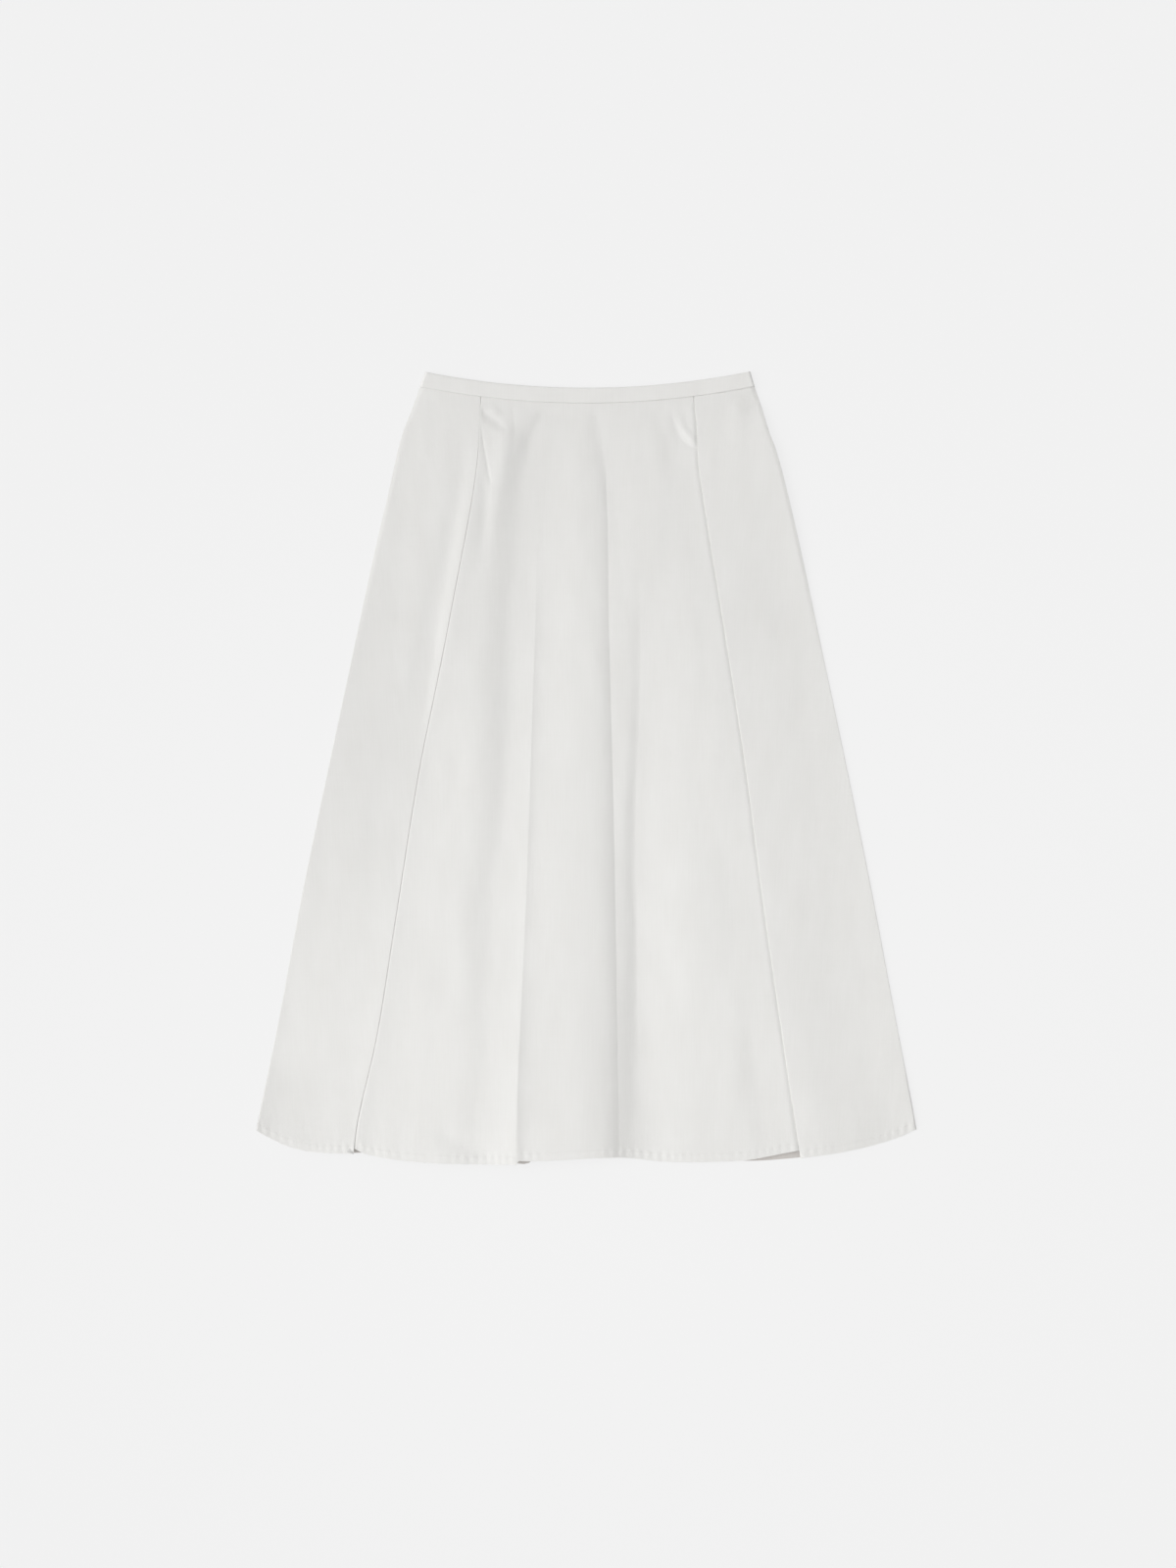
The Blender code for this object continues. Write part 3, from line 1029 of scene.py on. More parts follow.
def curl(down: Array, across: Array) -> Array:
    """How far the skirt's side edges, front and back together, lift off the floor at each place."""
    return sum(fold.lift(down, across) for fold in CURLS) * ease((down - LAY.band_edge) / CURL_RUN)


@dataclass(frozen=True)
class HemRelief:
    """What sewing does to a turned-up hem: puckers, a groove along its stitches, and an edge that droops."""

    pitch: float = 0.0088
    height: float = 0.00036
    middle: float = 0.0062
    reach_up: float = 0.0048
    reach_down: float = 0.0050
    force: float = 0.75
    least_force: float = 0.1
    most_force: float = 1.6
    side_force: float = 0.25
    sides_start: float = 0.20
    sides_run: float = 0.10
    groove_depth: float = 0.00010
    groove_width: float = 0.0007
    droop: float = 0.0007
    drift: Unevenness = Unevenness(seed=8, waves=8, height=1.3, shortest=0.05, longest=0.15, stretch=1.0)
    change: Unevenness = Unevenness(seed=21, waves=8, height=0.26, shortest=0.06, longest=0.20, stretch=1.0)

    def lift(self, across: Array, above: Array) -> Array:
        """How far the hem's surface is lifted at a distance above its edge.

        Args:
            across: How far across each place is.
            above: How far above the hem's edge it is.

        Returns:
            The lift at each place, up or down.
        """
        level = np.zeros(across.shape)
        wave = np.sin(2.0 * np.pi * across / self.pitch + self.drift.lift(level, across))
        sides = self.side_force * ease((np.abs(across) - self.sides_start) / self.sides_run)
        force = np.clip(self.force + sides + self.change.lift(level, across), self.least_force, self.most_force)
        reach = np.where(above > self.middle, self.reach_up, self.reach_down)
        puckers = self.height * wave * force * bump(above - self.middle, reach)
        groove = self.groove_depth * bump(above - STITCH_ABOVE_HEM, self.groove_width)
        return puckers - groove - self.droop * ease(1.0 - above / HEM_TURN)


@dataclass(frozen=True)
class FrontCloth:
    """The front, one cut piece: left side panel, left pleat, centre panel, right pleat and right side panel."""

    name: str = "front_cloth"
    node: str = "front_panel"
    wall: ClothWall = ClothWall()
    top_in_band: float = 0.0130
    hidden_top: float = 0.0170
    upper_end: float = 0.110
    upper_rows: int = 62
    middle_rows: int = 48
    side_columns: int = 48
    side_pull: float = 0.8
    edge_columns: int = 7
    underlay_columns: int = 3
    inner_columns: int = 5
    centre_columns: tuple[int, ...] = (76, 44, 16, 74)
    centre_pull: float = 0.75
    hem_release: float = 0.6
    release_start: float = 0.745
    release_run: float = 0.035
    side_rounding: float = 0.014
    cover_run: float = 0.046
    cover_slack: float = 0.002
    roll_width: float = 0.011
    plies_run: float = 0.0165
    crease_end: float = 0.004
    soft_floor: float = 0.0008
    sag: float = 0.0004
    seam_droop: float = 0.0006
    droop_start: float = 0.20
    droop_run: float = 0.15
    droop_width: float = 0.004
    seam_entry: float = 0.003
    centre_entry: float = 0.0012
    band_run: float = 0.014
    smooth_run: float = 0.02
    gather_run: float = 0.035
    uneven: Unevenness = Unevenness(seed=11, waves=40, height=0.00010, shortest=0.022, longest=0.075, stretch=3.0)
    gathers: Unevenness = Unevenness(seed=5, waves=12, height=0.00014, shortest=0.010, longest=0.026, stretch=8.0)
    hem_relief: HemRelief = HemRelief()
    flat_size: tuple[float, float] = (0.93, 0.86)
    flat_area: float = 0.58

    def runs(self) -> list[Run]:
        """The front's columns from its left side seam to its right one, in runs of one layer each.

        Returns:
            The runs, in the order of the grid's columns.
        """
        steps = (
            (Layer.SIDE, self.side_columns),
            (Layer.EDGE, self.edge_columns),
            (Layer.UNDERLAY, self.underlay_columns),
            (Layer.INNER, self.inner_columns),
            (Layer.TUCKED, self.underlay_columns),
        )
        left = [Run(layer, -1, np.arange(count) / count) for layer, count in steps]
        right = [Run(layer, 1, np.arange(count)[::-1] / count) for layer, count in reversed(steps)]
        parts = [index + np.arange(count) / count for index, count in enumerate(self.centre_columns)]
        centre = Run(Layer.CENTRE, 0, np.append(np.concatenate(parts), len(self.centre_columns)))
        return [*left, centre, *right]

    def pull(self, most: float, down: Array) -> Array:
        """How much closer the columns are at the ends of a stretch. It lets go at the hem, for the puckers' sake."""
        return most * (1.0 - self.hem_release * ease((down - self.release_start) / self.release_run))

    def pleat(self, side: int, down: Array) -> tuple[Array, Array, Array]:
        """The pleat on one side, with its distances from the centre line: folded edge, tuck and side seam.

        Args:
            side: -1 for the left pleat, or else the right one.
            down: How far down to look.

        Returns:
            The distances from the centre line out to the folded edge, out from there to the inner fold, and out to the
            side seam.
        """
        outline = OUTLINE_COURSE.at(down)
        if side < 0:
            return -outline.left_pleat, outline.left_tuck, -outline.left_side
        return outline.right_pleat, outline.right_tuck, outline.right_side

    def raised(self, rise: Array) -> Array:
        """The rise where it is above the lowest sag, rounded off softly where the cloth comes to rest."""
        above = rise + self.sag
        return 0.5 * (above + np.hypot(above, self.soft_floor)) - self.sag

    def free(self, down: Array, across: Array) -> Array:
        """How far the whole front stands off its rest: its dome, most at the centre line, with its folds.

        Args:
            down: How far down each place is.
            across: How far across it is.

        Returns:
            The height over the place where it would rest.
        """
        outline = OUTLINE_COURSE.at(down)
        seam = np.where(across < 0.0, outline.left_side, outline.right_side)
        dome = DOME_COURSE.at(down).height * (1.0 - (across / seam) ** 2) ** 2
        return dome + sum(fold.lift(down, across) for fold in FOLDS)

    def body(self, side: int, down: Array, outward: Array) -> Array:
        """How far each layer at a distance outward on one side is lifted."""
        return self.raised(self.free(down, side * outward))

    def side_place(self, run: Run, down: Array) -> Placed:
        """A side panel: it lies over its pleat's underlay, and rolls over at the folded edge.

        Args:
            run: The columns.
            down: How far down each of their points is.

        Returns:
            Each point's across, its height, and its height inside the waistband.
        """
        edge, tuck, seam = self.pleat(run.side, down)
        radius, pitch = LAY.fold_radius, LAY.pitch(down)
        outward = seam + (edge + radius - seam) * clustered(run.shares, self.pull(self.side_pull, down))
        cover = 1.0 - ease((outward - edge - tuck - self.cover_slack) / self.cover_run)
        roll = bump(outward - edge - radius, self.roll_width)
        body = self.body(run.side, down, outward) * (1.0 - bump(seam - outward, self.side_rounding))
        height = LAY.rest(down) + body + 2.0 * pitch * cover + (2.0 * radius - pitch) * roll
        droop = self.seam_droop * (1.0 - ease((down - self.droop_start) / self.droop_run))
        droop = droop * (1.0 - ease((seam - outward) / self.droop_width))
        steps = LAY.pleat_steps * (1.0 - bump(seam - outward, self.seam_entry))
        return run.side * outward, height - droop, LAY.entered(steps)

    def edge_place(self, run: Run, down: Array) -> Placed:
        """Round a pleat's folded edge, from its top to its underside.

        Args:
            run: The columns.
            down: How far down each of their points is.

        Returns:
            Each point's across, its height, and its height inside the waistband.
        """
        edge = self.pleat(run.side, down)[0]
        radius = LAY.fold_radius
        turn = np.pi * (0.5 + run.shares)
        middle = LAY.rest(down) + LAY.pitch(down) + radius + self.body(run.side, down, edge + radius)
        across = run.side * (edge + radius + radius * np.cos(turn))
        return across, middle + radius * np.sin(turn), LAY.entered(3.0 + np.sin(turn))

    def underlay_place(self, run: Run, down: Array) -> Placed:
        """A pleat's underlay, from its folded edge outwards to its inner fold.

        Args:
            run: The columns.
            down: How far down each of their points is.

        Returns:
            Each point's across, its height, and its height inside the waistband.
        """
        edge, tuck, _ = self.pleat(run.side, down)
        start = edge + LAY.fold_radius
        end = edge + tuck - 0.5 * LAY.pitch(down)
        outward = start + (end - start) * run.shares
        height = LAY.rest(down) + LAY.pitch(down) + self.body(run.side, down, outward)
        return run.side * outward, height, LAY.entered(2.0)

    def inner_place(self, run: Run, down: Array) -> Placed:
        """Round a pleat's hidden inner fold, from its top to its underside.

        Args:
            run: The columns.
            down: How far down each of their points is.

        Returns:
            Each point's across, its height, and its height inside the waistband.
        """
        edge, tuck, _ = self.pleat(run.side, down)
        radius = 0.5 * LAY.pitch(down)
        turn = np.pi * (0.5 - run.shares)
        outward = edge + tuck - radius + radius * np.cos(turn)
        height = LAY.rest(down) + radius + radius * np.sin(turn) + self.body(run.side, down, outward)
        return run.side * outward, height, LAY.entered(1.0 + np.sin(turn))

    def tucked_place(self, run: Run, down: Array) -> Placed:
        """The centre panel where it runs under a pleat, from the inner fold to the folded edge.

        Args:
            run: The columns.
            down: How far down each of their points is.

        Returns:
            Each point's across, its height, and its height inside the waistband.
        """
        edge, tuck, _ = self.pleat(run.side, down)
        start = edge + tuck - 0.5 * LAY.pitch(down)
        outward = start + (edge - start) * run.shares
        height = LAY.rest(down) + self.body(run.side, down, outward)
        return run.side * outward, height, LAY.entered(0.0)

    def centre_place(self, run: Run, down: Array) -> Placed:
        """The open centre panel, from the left pleat to the right one.

        Args:
            run: The columns.
            down: How far down each of their points is.

        Returns:
            Each point's across, its height, and its height inside the waistband.
        """
        outline, guides = OUTLINE_COURSE.at(down), GUIDE_COURSE.at(down)
        lines = np.stack(
            [outline.left_pleat, guides.ridge_line, guides.middle_line, guides.inner_line, outline.right_pleat]
        )
        part = np.minimum(run.shares.astype(int), len(self.centre_columns) - 1)
        share = clustered(run.shares - part, self.pull(self.centre_pull, down))
        columns = np.arange(len(part))
        across = lines[part, :, columns].T * (1.0 - share) + lines[part + 1, :, columns].T * share
        beside = np.minimum(across - outline.left_pleat, outline.right_pleat - across)
        creases = sum(crease.lift(down, across) for crease in CREASES) * ease(beside / self.crease_end)
        height = LAY.rest(down) + self.raised(self.free(down, across) + creases)
        for shoulder, distance in zip(SHOULDERS, (across - outline.left_pleat, outline.right_pleat - across)):
            height = height + shoulder.lift(down, distance)
        return across, height, LAY.entered(LAY.pleat_steps * ease(beside / self.centre_entry))

    def place(self, run: Run, down: Array) -> Placed:
        """Places a run's columns.

        Args:
            run: The columns.
            down: How far down each point of them is, one row for each row of the cloth.

        Returns:
            Each point's across, its height, and the height at which it goes under the waistband.
        """
        places = {
            Layer.SIDE: self.side_place,
            Layer.EDGE: self.edge_place,
            Layer.UNDERLAY: self.underlay_place,
            Layer.INNER: self.inner_place,
            Layer.TUCKED: self.tucked_place,
            Layer.CENTRE: self.centre_place,
        }
        return places[run.layer](run, down)

    def hem(self, run: Run) -> Array:
        """How far down each column of a run ends.

        Args:
            run: The columns.

        Returns:
            The end of each column.
        """
        across = self.place(run, np.full((1, len(run.shares)), HEM_DOWN))[0][0]
        side_hem, edge = (LEFT_HEM, LEFT_HEM[-1]) if run.side < 0 else (RIGHT_HEM, RIGHT_HEM[0])
        if run.layer in (Layer.SIDE, Layer.EDGE):
            return Course(side_hem).at(across).down
        centre = Course(CENTRE_HEM).at(across).down
        if run.layer is Layer.UNDERLAY:
            return edge.down + (centre - edge.down) * run.shares
        return centre

    def top(self, run: Run) -> Array:
        """How far down each column of a run starts: inside the waistband where it shows, or else just below it.

        Args:
            run: The columns.

        Returns:
            The start of each column.
        """
        hidden = {Layer.SIDE: 0.0, Layer.CENTRE: 0.0, Layer.EDGE: run.shares}.get(run.layer, 1.0)
        start = self.top_in_band + (self.hidden_top - self.top_in_band) * hidden
        return np.broadcast_to(start, run.shares.shape)

    def downs(self, top: Array, hem: Array) -> Array:
        """How far down each row lies in each column: even rows, then closer ones towards the hem.

        Args:
            top: Where each column starts.
            hem: Where each column ends.

        Returns:
            A grid of distances down, one row for each row of the cloth.
        """
        near_hem = hem - np.array(HEM_ROWS)[:, None]
        upper = top + (self.upper_end - top) * np.linspace(0.0, 1.0, self.upper_rows)[:, None]
        share = np.linspace(0.0, 1.0, self.middle_rows + 2)[1:-1, None]
        return np.concatenate([upper, self.upper_end + (near_hem[0] - self.upper_end) * share, near_hem])

    def turned(self, run: Run, down: Array, across: Array) -> Array | float:
        """How much of the hem's plies a run takes: none inside a pleat, where they would fill the fold.

        Args:
            run: The columns.
            down: How far down each point is.
            across: How far across it is.

        Returns:
            The share of the plies' thickness, from 0 to 1.
        """
        if run.layer is Layer.SIDE:
            return ease((np.abs(across) - self.pleat(run.side, down)[0]) / self.plies_run)
        return 1.0 if run.layer is Layer.CENTRE else 0.0

    def opened(self, run: Run, down: Array) -> Array:
        """How far a run moves outwards when the pleats are opened flat."""
        tucks = {Layer.SIDE: 2.0, Layer.EDGE: 2.0, Layer.UNDERLAY: 1.0}.get(run.layer, 0.0)
        return run.side * tucks * self.pleat(run.side, down)[1]

    def surface(self) -> tuple[Array, Array, Array, Array]:
        """Works out the cloth's middle.

        Returns:
            The grid of points, how far above the hem each is, how much of the hem's plies each takes, and each one's
            place on the flat cut.
        """
        points, above_hems, turned_up, flats = [], [], [], []
        for run in self.runs():
            hem = self.hem(run)
            down = self.downs(self.top(run), hem)
            across, height, entry = self.place(run, down)
            above, below_band = hem - down, down - LAY.band_edge
            waves = self.uneven.lift(down, across)
            gathers = self.gathers.lift(down, across) * np.exp(-below_band / self.gather_run)
            height = height + curl(down, across) + (waves + gathers) * ease(below_band / self.smooth_run)
            if run.layer in (Layer.SIDE, Layer.EDGE, Layer.CENTRE):
                height = height + self.hem_relief.lift(across, above)
            under_band = 1.0 - ease(below_band / self.band_run)
            height = height * (1.0 - under_band) + entry * under_band
            grid = FAN.place(down, across, height)
            points.append(grid)
            above_hems.append(above)
            turned_up.append(np.broadcast_to(self.turned(run, down, across), down.shape))
            flats.append(np.stack([grid[..., 0] + self.opened(run, down), grid[..., 1]], axis=-1))
        return tuple(np.concatenate(parts, axis=1) for parts in (points, above_hems, turned_up, flats))

    def build(self) -> tuple[Any, Array]:
        """Makes the cloth, and returns it with the grid of points through its middle."""
        middle, above_hem, turned, flat = self.surface()
        return self.wall.build(self.name, middle, above_hem, turned, flat), middle

    def dress(self, piece: Any, finish: Any, stitches: Sequence[Any]) -> None:
        """Gives the cloth its finish, hangs it on the root body and hides its solid.

        Args:
            piece: The cloth.
            finish: Its material.
            stitches: The rows of stitches sewn into it; not used.
        """
        piece.data.materials.append(finish)
        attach(piece, "root")
        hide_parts(self.node)


@dataclass(frozen=True)
class BackCloth:
    """One half of the back, which lies flat on the floor with its wrong side up, inside the skirt."""

    name: str
    node: str
    side: int
    wall: ClothWall = ClothWall()
    columns: int = 64
    rows: int = 60
    seam_gap: float = 0.0003
    top: float = 0.0168
    height: float = 0.00030
    seam_lift: float = 0.00022
    seam_run: float = 0.012
    flat_size: tuple[float, float] = (0.36, 0.84)
    flat_area: float = 0.225

    def build(self) -> Any:
        """Makes the cloth, with the upper faces in its second finish: the cotton darkened, painted shade for the shade
        that the front casts on the inside.

        Returns:
            The new object.
        """
        share = np.linspace(0.0, 1.0, self.columns + 1)
        front = FrontCloth()
        seam = front.pleat(self.side, np.array(HEM_DOWN))[2]
        hem = Course(BACK_HEM).at(self.side * seam * share).down
        near_hem = hem - np.array(HEM_ROWS)[:, None]
        even = self.top + (near_hem[0] - self.top) * np.linspace(0.0, 1.0, self.rows + 1)[:-1, None]
        down = np.concatenate([even, near_hem])
        start = 0.5 * self.seam_gap
        across = self.side * (start + (front.pleat(self.side, down)[2] - start) * share)
        uneven = Unevenness(seed=31 + self.side, waves=24, height=0.00004, shortest=0.03, longest=0.09, stretch=2.0)
        lift = np.abs(uneven.lift(down, across)) + self.seam_lift * bump(1.0 - share, self.seam_run)
        middle = FAN.place(down, across, self.height + lift + curl(down, across))
        above = hem - down
        if self.side < 0:
            middle, above = middle[:, ::-1], above[:, ::-1]
        turned = np.ones(above.shape)
        piece = self.wall.build(self.name, middle, above, turned, middle[..., :2], wrong_side=1.0)
        # The upper faces, the inside, take the darker second finish: painted shade under the front.
        inside = (middle.shape[0] - 1) * (middle.shape[1] - 1)
        for face in piece.data.polygons[:inside]:
            face.material_index = 1
        return piece

    def dress(self, piece: Any, finish: Any, painted_shade_finish: Any) -> None:
        """Gives the cloth its finishes, hangs it on the root body and hides its solid.

        Args:
            piece: The cloth.
            finish: The material of its right side.
            painted_shade_finish: That of its inside: the cotton darkened, painted shade for the shade that the front
                casts on it.
        """
        piece.data.materials.append(finish)
        piece.data.materials.append(painted_shade_finish)
        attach(piece, "root")
        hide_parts(self.node)


class Facing(Enum):
    """Which way a stretch of waistband has its outer side."""

    UP = 1
    DOWN = -1


@dataclass(frozen=True)
class Waistband:
    """A stretch of the waistband: a strip folded along its top edge, with the skirt's cloth held inside it."""

    name: str
    node: str
    facing: Facing
    left_end: float
    right_end: float
    bottom: float
    outer_height: float
    flat_size: tuple[float, float]
    inner_height: float = 0.00025
    wall: float = 0.0005
    width: float = 0.0165
    inner_width: float = 0.0158
    seam_gap: float = 0.00025
    fold_squash: float = 0.96
    crown_start: float = 0.12
    crown_height: float = 0.00008
    end_rounding: float = 0.0025
    end_drop: float = 0.98
    end_pull: float = 0.7
    columns: int = 140
    outer_steps: int = 12
    fold_steps: int = 9
    inner_steps: int = 5

    def ends(self, down: Array) -> tuple[Array, Array]:
        """Where the strip starts and ends across, as shares of the outline's two sides."""
        outline = OUTLINE_COURSE.at(down)
        return outline.left_side * self.left_end, outline.right_side * self.right_end

    def section(self) -> tuple[Array, Array, Array]:
        """The strip's cross-section.

        Returns:
            The down of each step round it, its share of the way from the inner layer to the outer one, and how much
            of the crown and unevenness it takes.
        """
        radius = 0.5 * (self.outer_height - self.inner_height)
        outer = np.linspace(0.0, 1.0, self.outer_steps)
        turn = np.linspace(0.0, np.pi, self.fold_steps + 2)[1:-1]
        inner = np.linspace(0.0, 1.0, self.inner_steps)
        down = np.concatenate(
            [
                self.width - self.seam_gap + (radius - self.width) * outer,
                radius - radius * np.sin(turn) * self.fold_squash,
                radius + (self.inner_width - radius) * inner,
            ]
        )
        level = np.concatenate([np.ones(self.outer_steps), 0.5 + 0.5 * np.cos(turn), np.zeros(self.inner_steps)])
        bulge = np.sin(np.pi * (self.crown_start + (1.0 - self.crown_start) * outer))
        return down, level, np.concatenate([bulge, np.zeros(self.fold_steps + self.inner_steps)])

    def build(self) -> Any:
        """Makes the strip.

        Returns:
            The new object.
        """
        down, level, crown = (part[None, :] for part in self.section())
        share = clustered(np.linspace(0.0, 1.0, self.columns + 1), self.end_pull)[:, None]
        start, end = self.ends(down)
        across = start + (end - start) * share
        uneven = Unevenness(seed=41, waves=20, height=0.00010, shortest=0.012, longest=0.060, stretch=1.0)
        edge_wander = Unevenness(seed=43, waves=12, height=0.00012, shortest=0.020, longest=0.070, stretch=1.0)
        level_row = np.zeros(across.shape)
        beside = np.minimum(
            np.where(self.left_end > 0.0, across - start, np.inf),
            np.where(self.right_end > 0.0, end - across, np.inf),
        )
        near_end = np.clip(1.0 - beside / self.end_rounding, 0.0, 1.0)
        rounding = np.sqrt(1.0 - self.end_drop * near_end**2)
        rise = (self.outer_height - self.inner_height) * level * rounding
        rise = rise + (self.crown_height + uneven.lift(level_row, across)) * crown * rounding
        height = self.bottom + self.inner_height + rise
        if self.facing is Facing.DOWN:
            turned = self.outer_height + 0.5 * self.wall - (height - self.bottom)
            height = self.bottom + np.maximum(turned, 0.5 * self.wall)
        down = down + edge_wander.lift(level_row, across) * crown
        middle = FAN.place(down, across, height)
        if self.facing is Facing.DOWN:
            middle = middle[::-1]
        offset = 0.5 * self.wall * normals(middle)
        return wall_object(self.name, middle + offset, middle - offset, middle[..., :2])

    def dress(self, piece: Any, finish: Any, rests_on: str) -> None:
        """Gives the strip its finish, hangs it on the root body and hides its solid.

        Args:
            piece: The strip.
            finish: Its material.
            rests_on: The name of what it lies on; not used.
        """
        piece.data.materials.append(finish)
        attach(piece, "root")
        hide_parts(self.node)


@dataclass(frozen=True)
class HemStitching:
    """A row of stitches along a hem."""

    name: str
    stitch: float = 0.0024
    gap: float = 0.0007
    thread: float = 0.00032
    flatness: float = 0.8
    sink: float = 0.00002
    ring: int = 8
    rings: int = 6

    def one_stitch(self) -> Any:
        """Models one stitch: a short thread that dives into the cloth at both ends.

        Returns:
            The stitch, at the origin and along X.
        """
        bpy.ops.object.select_all(action="DESELECT")
        bpy.ops.mesh.primitive_uv_sphere_add(segments=self.ring, ring_count=self.rings, radius=0.5)
        piece = bpy.context.object
        bpy.ops.object.mode_set(mode="EDIT")
        bpy.ops.mesh.select_all(action="SELECT")
        bpy.ops.transform.rotate(value=math.pi / 2.0, orient_axis="Y", center_override=(0.0, 0.0, 0.0))
        bpy.ops.transform.resize(value=(self.stitch, self.thread, self.flatness * self.thread))
        bpy.ops.object.mode_set(mode="OBJECT")
        return piece

    def build(self, line: Array, up: Array) -> Any:
        """Lays stitches along a line.

        Args:
            line: Points along the surface of the cloth, where the stitches lie.
            up: The direction away from the cloth at each of them.

        Returns:
            One object that holds every stitch.
        """
        model = self.one_stitch()
        shape = np.array([vertex.co for vertex in model.data.vertices])
        faces = [tuple(face.vertices) for face in model.data.polygons]
        bpy.data.objects.remove(model, do_unlink=True)
        steps = np.linalg.norm(np.diff(line, axis=0), axis=1)
        along = np.concatenate([[0.0], np.cumsum(steps)])
        starts = np.arange(self.gap, along[-1] - self.stitch - self.gap, self.stitch + self.gap)

        def at(distance: Array, values: Array) -> Array:
            """Values along the line at these distances."""
            return np.stack([np.interp(distance, along, values[:, axis]) for axis in range(3)], axis=-1)

        first, second = at(starts, line), at(starts + self.stitch, line)
        run = second - first
        run /= np.linalg.norm(run, axis=1, keepdims=True)
        normal = at(starts + 0.5 * self.stitch, up)
        normal -= np.sum(normal * run, axis=1, keepdims=True) * run
        normal /= np.linalg.norm(normal, axis=1, keepdims=True)
        aside = np.cross(normal, run)
        middle = at(starts + 0.5 * self.stitch, line) + self.sink * normal
        axes = np.stack([run, aside, normal], axis=1)
        points = np.einsum("vk,skc->svc", shape, axes) + middle[:, None, :]
        mesh = bpy.data.meshes.new(self.name)
        count = len(shape)
        copies = [tuple(index + copy * count for index in face) for copy in range(len(starts)) for face in faces]
        mesh.from_pydata(points.reshape(-1, 3).tolist(), [], copies)
        mesh.shade_smooth()
        placed = bpy.data.objects.new(self.name, mesh)
        bpy.context.scene.collection.objects.link(placed)
        return placed

    def dress(self, piece: Any, finish: Any) -> None:
        """Gives the thread its finish and hangs it on the root body.

        Args:
            piece: The row of stitches.
            finish: Its material.
        """
        piece.data.materials.append(finish)
        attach(piece, "root")


@dataclass(frozen=True)
class Sun:
    """A soft light from far away."""

    name: str
    zenith: float
    azimuth: float
    softness: float
    strength: float

    def place(self) -> None:
        """Hangs the light so that it shines down from its zenith angle and azimuth, in degrees."""
        light = bpy.data.lights.new(self.name, "SUN")
        light.angle, light.energy = math.radians(self.softness), self.strength
        lamp = bpy.data.objects.new(self.name, light)
        bpy.context.scene.collection.objects.link(lamp)
        lean, turn = math.radians(self.zenith), math.radians(self.azimuth)
        beam = Vector((-math.sin(lean) * math.cos(turn), -math.sin(lean) * math.sin(turn), -math.cos(lean)))
        lamp.rotation_euler = beam.to_track_quat("-Z", "Y").to_euler()


@dataclass(frozen=True)
class Studio:
    """The floor, the light and the camera, which looks straight down."""

    floor_size: float = 8.0
    floor_height: float = -0.0001
    camera_place: tuple[float, float, float] = (0.0016, -0.017, 3.912)
    lens: float = 85.0
    sky: float = 0.44
    suns: tuple[Sun, ...] = (
        Sun("key_light", zenith=50.0, azimuth=190.0, softness=60.0, strength=1.88),
        Sun("fill_light", zenith=30.0, azimuth=20.0, softness=60.0, strength=0.30),
    )
    hem_light_place: tuple[float, float, float] = (-0.60, -0.90, 2.40)
    hem_light_aim: tuple[float, float, float] = (-0.03, -0.27, 0.0)
    hem_light_cone: float = 30.0
    hem_light_radius: float = 0.35
    hem_light_power: float = 27.0

    def build_floor(self) -> Any:
        """Lays the floor just under the skirt.

        Returns:
            The floor.
        """
        bpy.ops.object.select_all(action="DESELECT")
        bpy.ops.mesh.primitive_plane_add(size=self.floor_size, location=(0.0, 0.0, 0.0))
        floor = bpy.context.object
        floor.name = "floor"
        floor.data.transform(floor.matrix_world)
        for vertex in floor.data.vertices:
            vertex.co.z = self.floor_height
        floor.data.materials.append(FloorFinish().material())
        return floor

    def build_light(self) -> None:
        """Sets the suns and the even sky."""
        scene = bpy.context.scene
        for sun in self.suns:
            sun.place()
        light = bpy.data.lights.new("hem_light", "SPOT")
        light.spot_size, light.spot_blend = math.radians(self.hem_light_cone), 1.0
        light.shadow_soft_size, light.energy = self.hem_light_radius, self.hem_light_power
        lamp = bpy.data.objects.new("hem_light", light)
        lamp.location = self.hem_light_place
        lamp.rotation_euler = (Vector(self.hem_light_aim) - lamp.location).to_track_quat("-Z", "Y").to_euler()
        scene.collection.objects.link(lamp)
        world = bpy.data.worlds.new("soft_sky")
        world.use_nodes = True
        background = world.node_tree.nodes["Background"]
        background.inputs["Color"].default_value = (1.0, 1.0, 1.0, 1.0)
        background.inputs["Strength"].default_value = self.sky
        scene.world = world
        scene.view_settings.view_transform = "Standard"

    def build_camera(self) -> None:
        """Hangs the camera over the skirt."""
        camera = bpy.data.cameras.new("camera")
        camera.lens = self.lens
        holder = bpy.data.objects.new("camera", camera)
        holder.location = self.camera_place
        bpy.context.scene.collection.objects.link(holder)
        bpy.context.scene.camera = holder


def hem_line(middle: Array, columns: slice, lift: float) -> tuple[Array, Array]:
    """The line along which a hem is stitched.

    Args:
        middle: The grid of points through the middle of the cloth.
        columns: The columns that the line crosses.
        lift: How far above the middle the line lies, or below it where negative.

    Returns:
        The line's points, and the direction away from the cloth at each.
    """
    row = middle.shape[0] - len(HEM_ROWS) + HEM_ROWS.index(STITCH_ABOVE_HEM)
    normal = normals(middle)[row, columns]
    return middle[row, columns] + lift * normal, math.copysign(1.0, lift) * normal


def report(piece: Any) -> None:
    """Reports one finished piece."""
    piece.data.calc_loop_triangles()
    log.info("%s: %d triangles", piece.name, len(piece.data.loop_triangles))


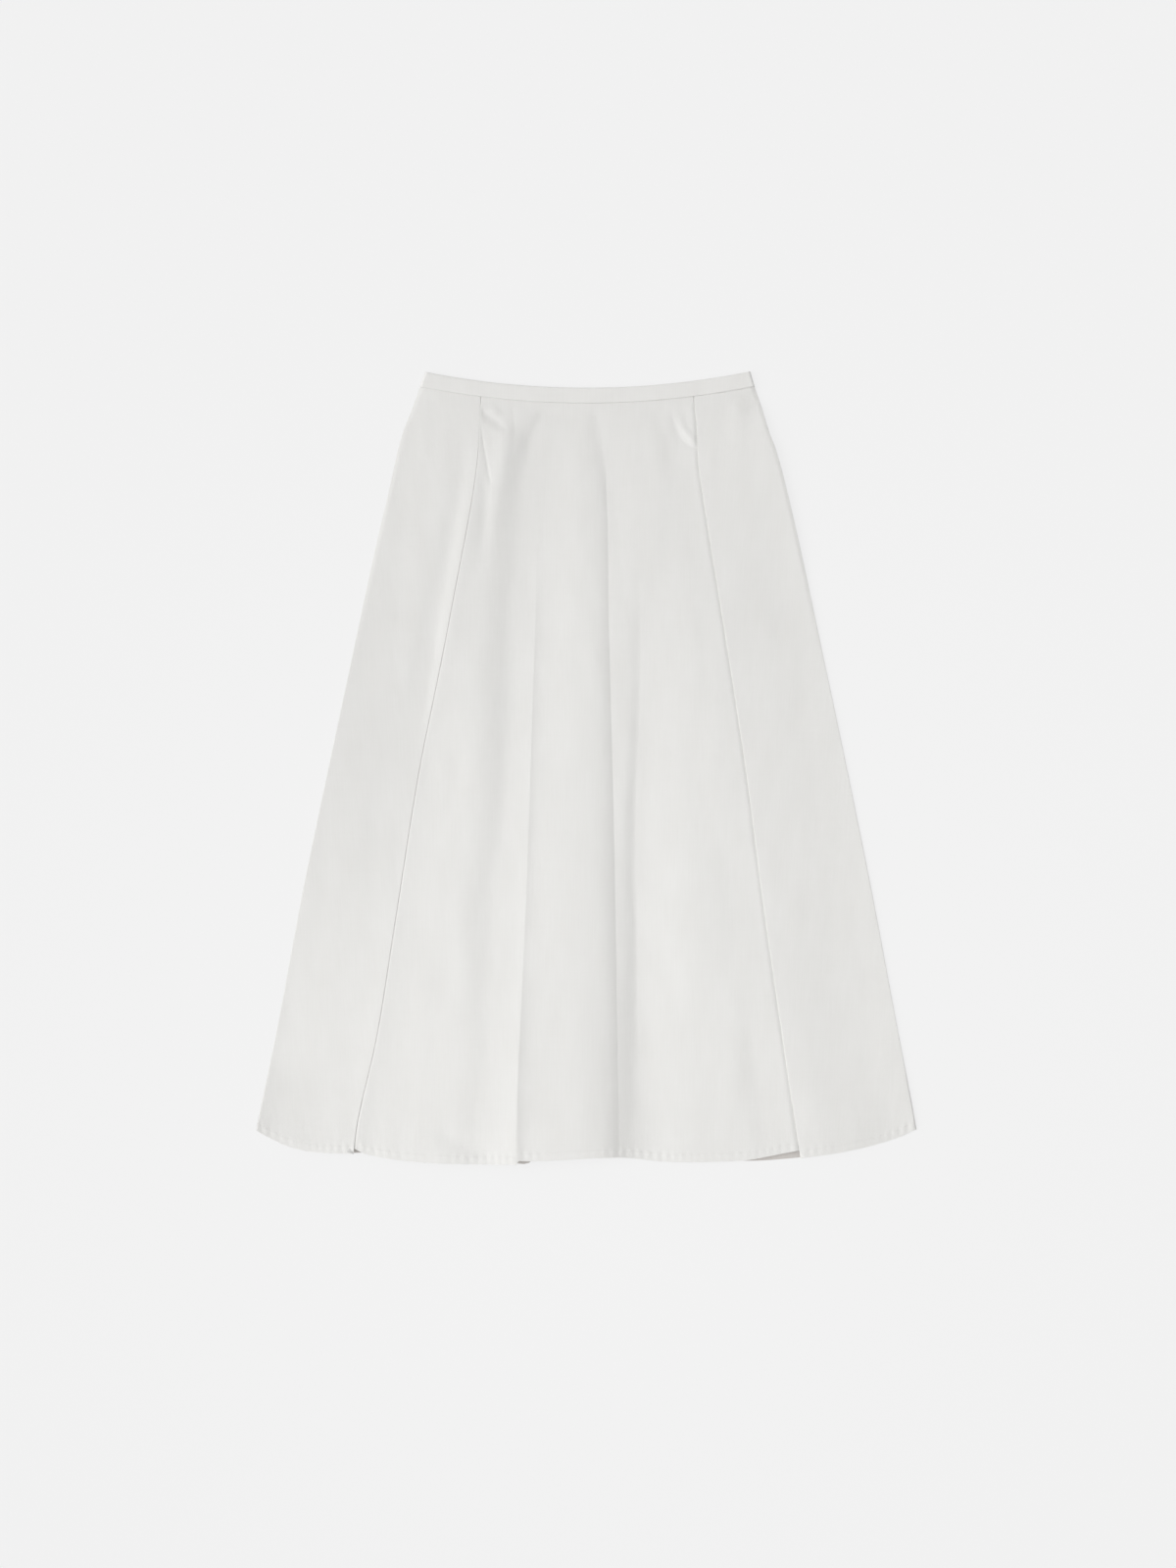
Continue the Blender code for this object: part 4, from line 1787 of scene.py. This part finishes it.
def build_skirt() -> None:
    """Builds and dresses the skirt's pieces, from the floor up."""
    cotton = ClothFinish("skirt_cotton").material()
    # Painted light: the skirt's cotton made a little lighter, so that the band, which catches less light as it lies,
    # reads as bright as the skirt.
    band_cotton = ClothFinish(
        "lightened_waistband_cotton",
        light=(0.870, 0.866, 0.848),
        shade=(0.797, 0.788, 0.765),
        crumple_relief=0.00008,
        slub_relief=0.000022,
    ).material()
    # Painted shade: the skirt's cotton darkened, for the back's inside where it shows at the hem under the front.
    painted_shade_cotton = ClothFinish(
        "painted_shade_cotton",
        light=(0.640, 0.610, 0.585),
        shade=(0.570, 0.540, 0.515),
    ).material()
    thread = ThreadFinish("sewing_thread").material()

    backs = (
        BackCloth("back_cloth_left", "back_panel_left", -1),
        BackCloth("back_cloth_right", "back_panel_right", 1),
    )
    for back in backs:
        piece = back.build()
        back.dress(piece, cotton, painted_shade_cotton)
        report(piece)

    front = FrontCloth()
    piece, middle = front.build()
    runs = front.runs()
    starts = np.cumsum([0, *(len(run.shares) for run in runs)])
    stitched = [index for index, run in enumerate(runs) if run.layer in (Layer.SIDE, Layer.CENTRE)]
    stitches = []
    for part, index in zip(("left", "centre", "right"), stitched):
        row = HemStitching(f"hem_stitches_{part}")
        sewn = row.build(*hem_line(middle, slice(starts[index], starts[index + 1]), 0.5 * front.wall.cloth))
        row.dress(sewn, thread)
        report(sewn)
        stitches.append(sewn)
    front.dress(piece, cotton, stitches)
    report(piece)

    bands = (
        Waistband(
            "band_cloth_front", "waistband_front", Facing.UP,
            left_end=1.0, right_end=1.0, bottom=0.0021, outer_height=0.0020, flat_size=(0.352, 0.0345),
        ),
        Waistband(
            "band_cloth_back_left", "waistband_back_left", Facing.DOWN,
            left_end=1.0, right_end=0.0, bottom=0.0, outer_height=0.0015, flat_size=(0.175, 0.0345),
        ),
        Waistband(
            "band_cloth_back_right", "waistband_back_right", Facing.DOWN,
            left_end=0.0, right_end=1.0, bottom=0.0, outer_height=0.0015, flat_size=(0.177, 0.0345),
        ),
    )
    for band in bands:
        piece = band.build()
        band.dress(piece, band_cotton, "floor" if band.facing is Facing.DOWN else "band_cloth_back_left")
        report(piece)


def main() -> None:
    """Builds the scene in order."""
    logging.basicConfig(level=logging.INFO, format="%(name)s %(message)s")
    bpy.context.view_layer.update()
    studio = Studio()
    studio.build_camera()
    studio.build_floor()
    studio.build_light()
    build_skirt()


if __name__ == "__main__":
    main()
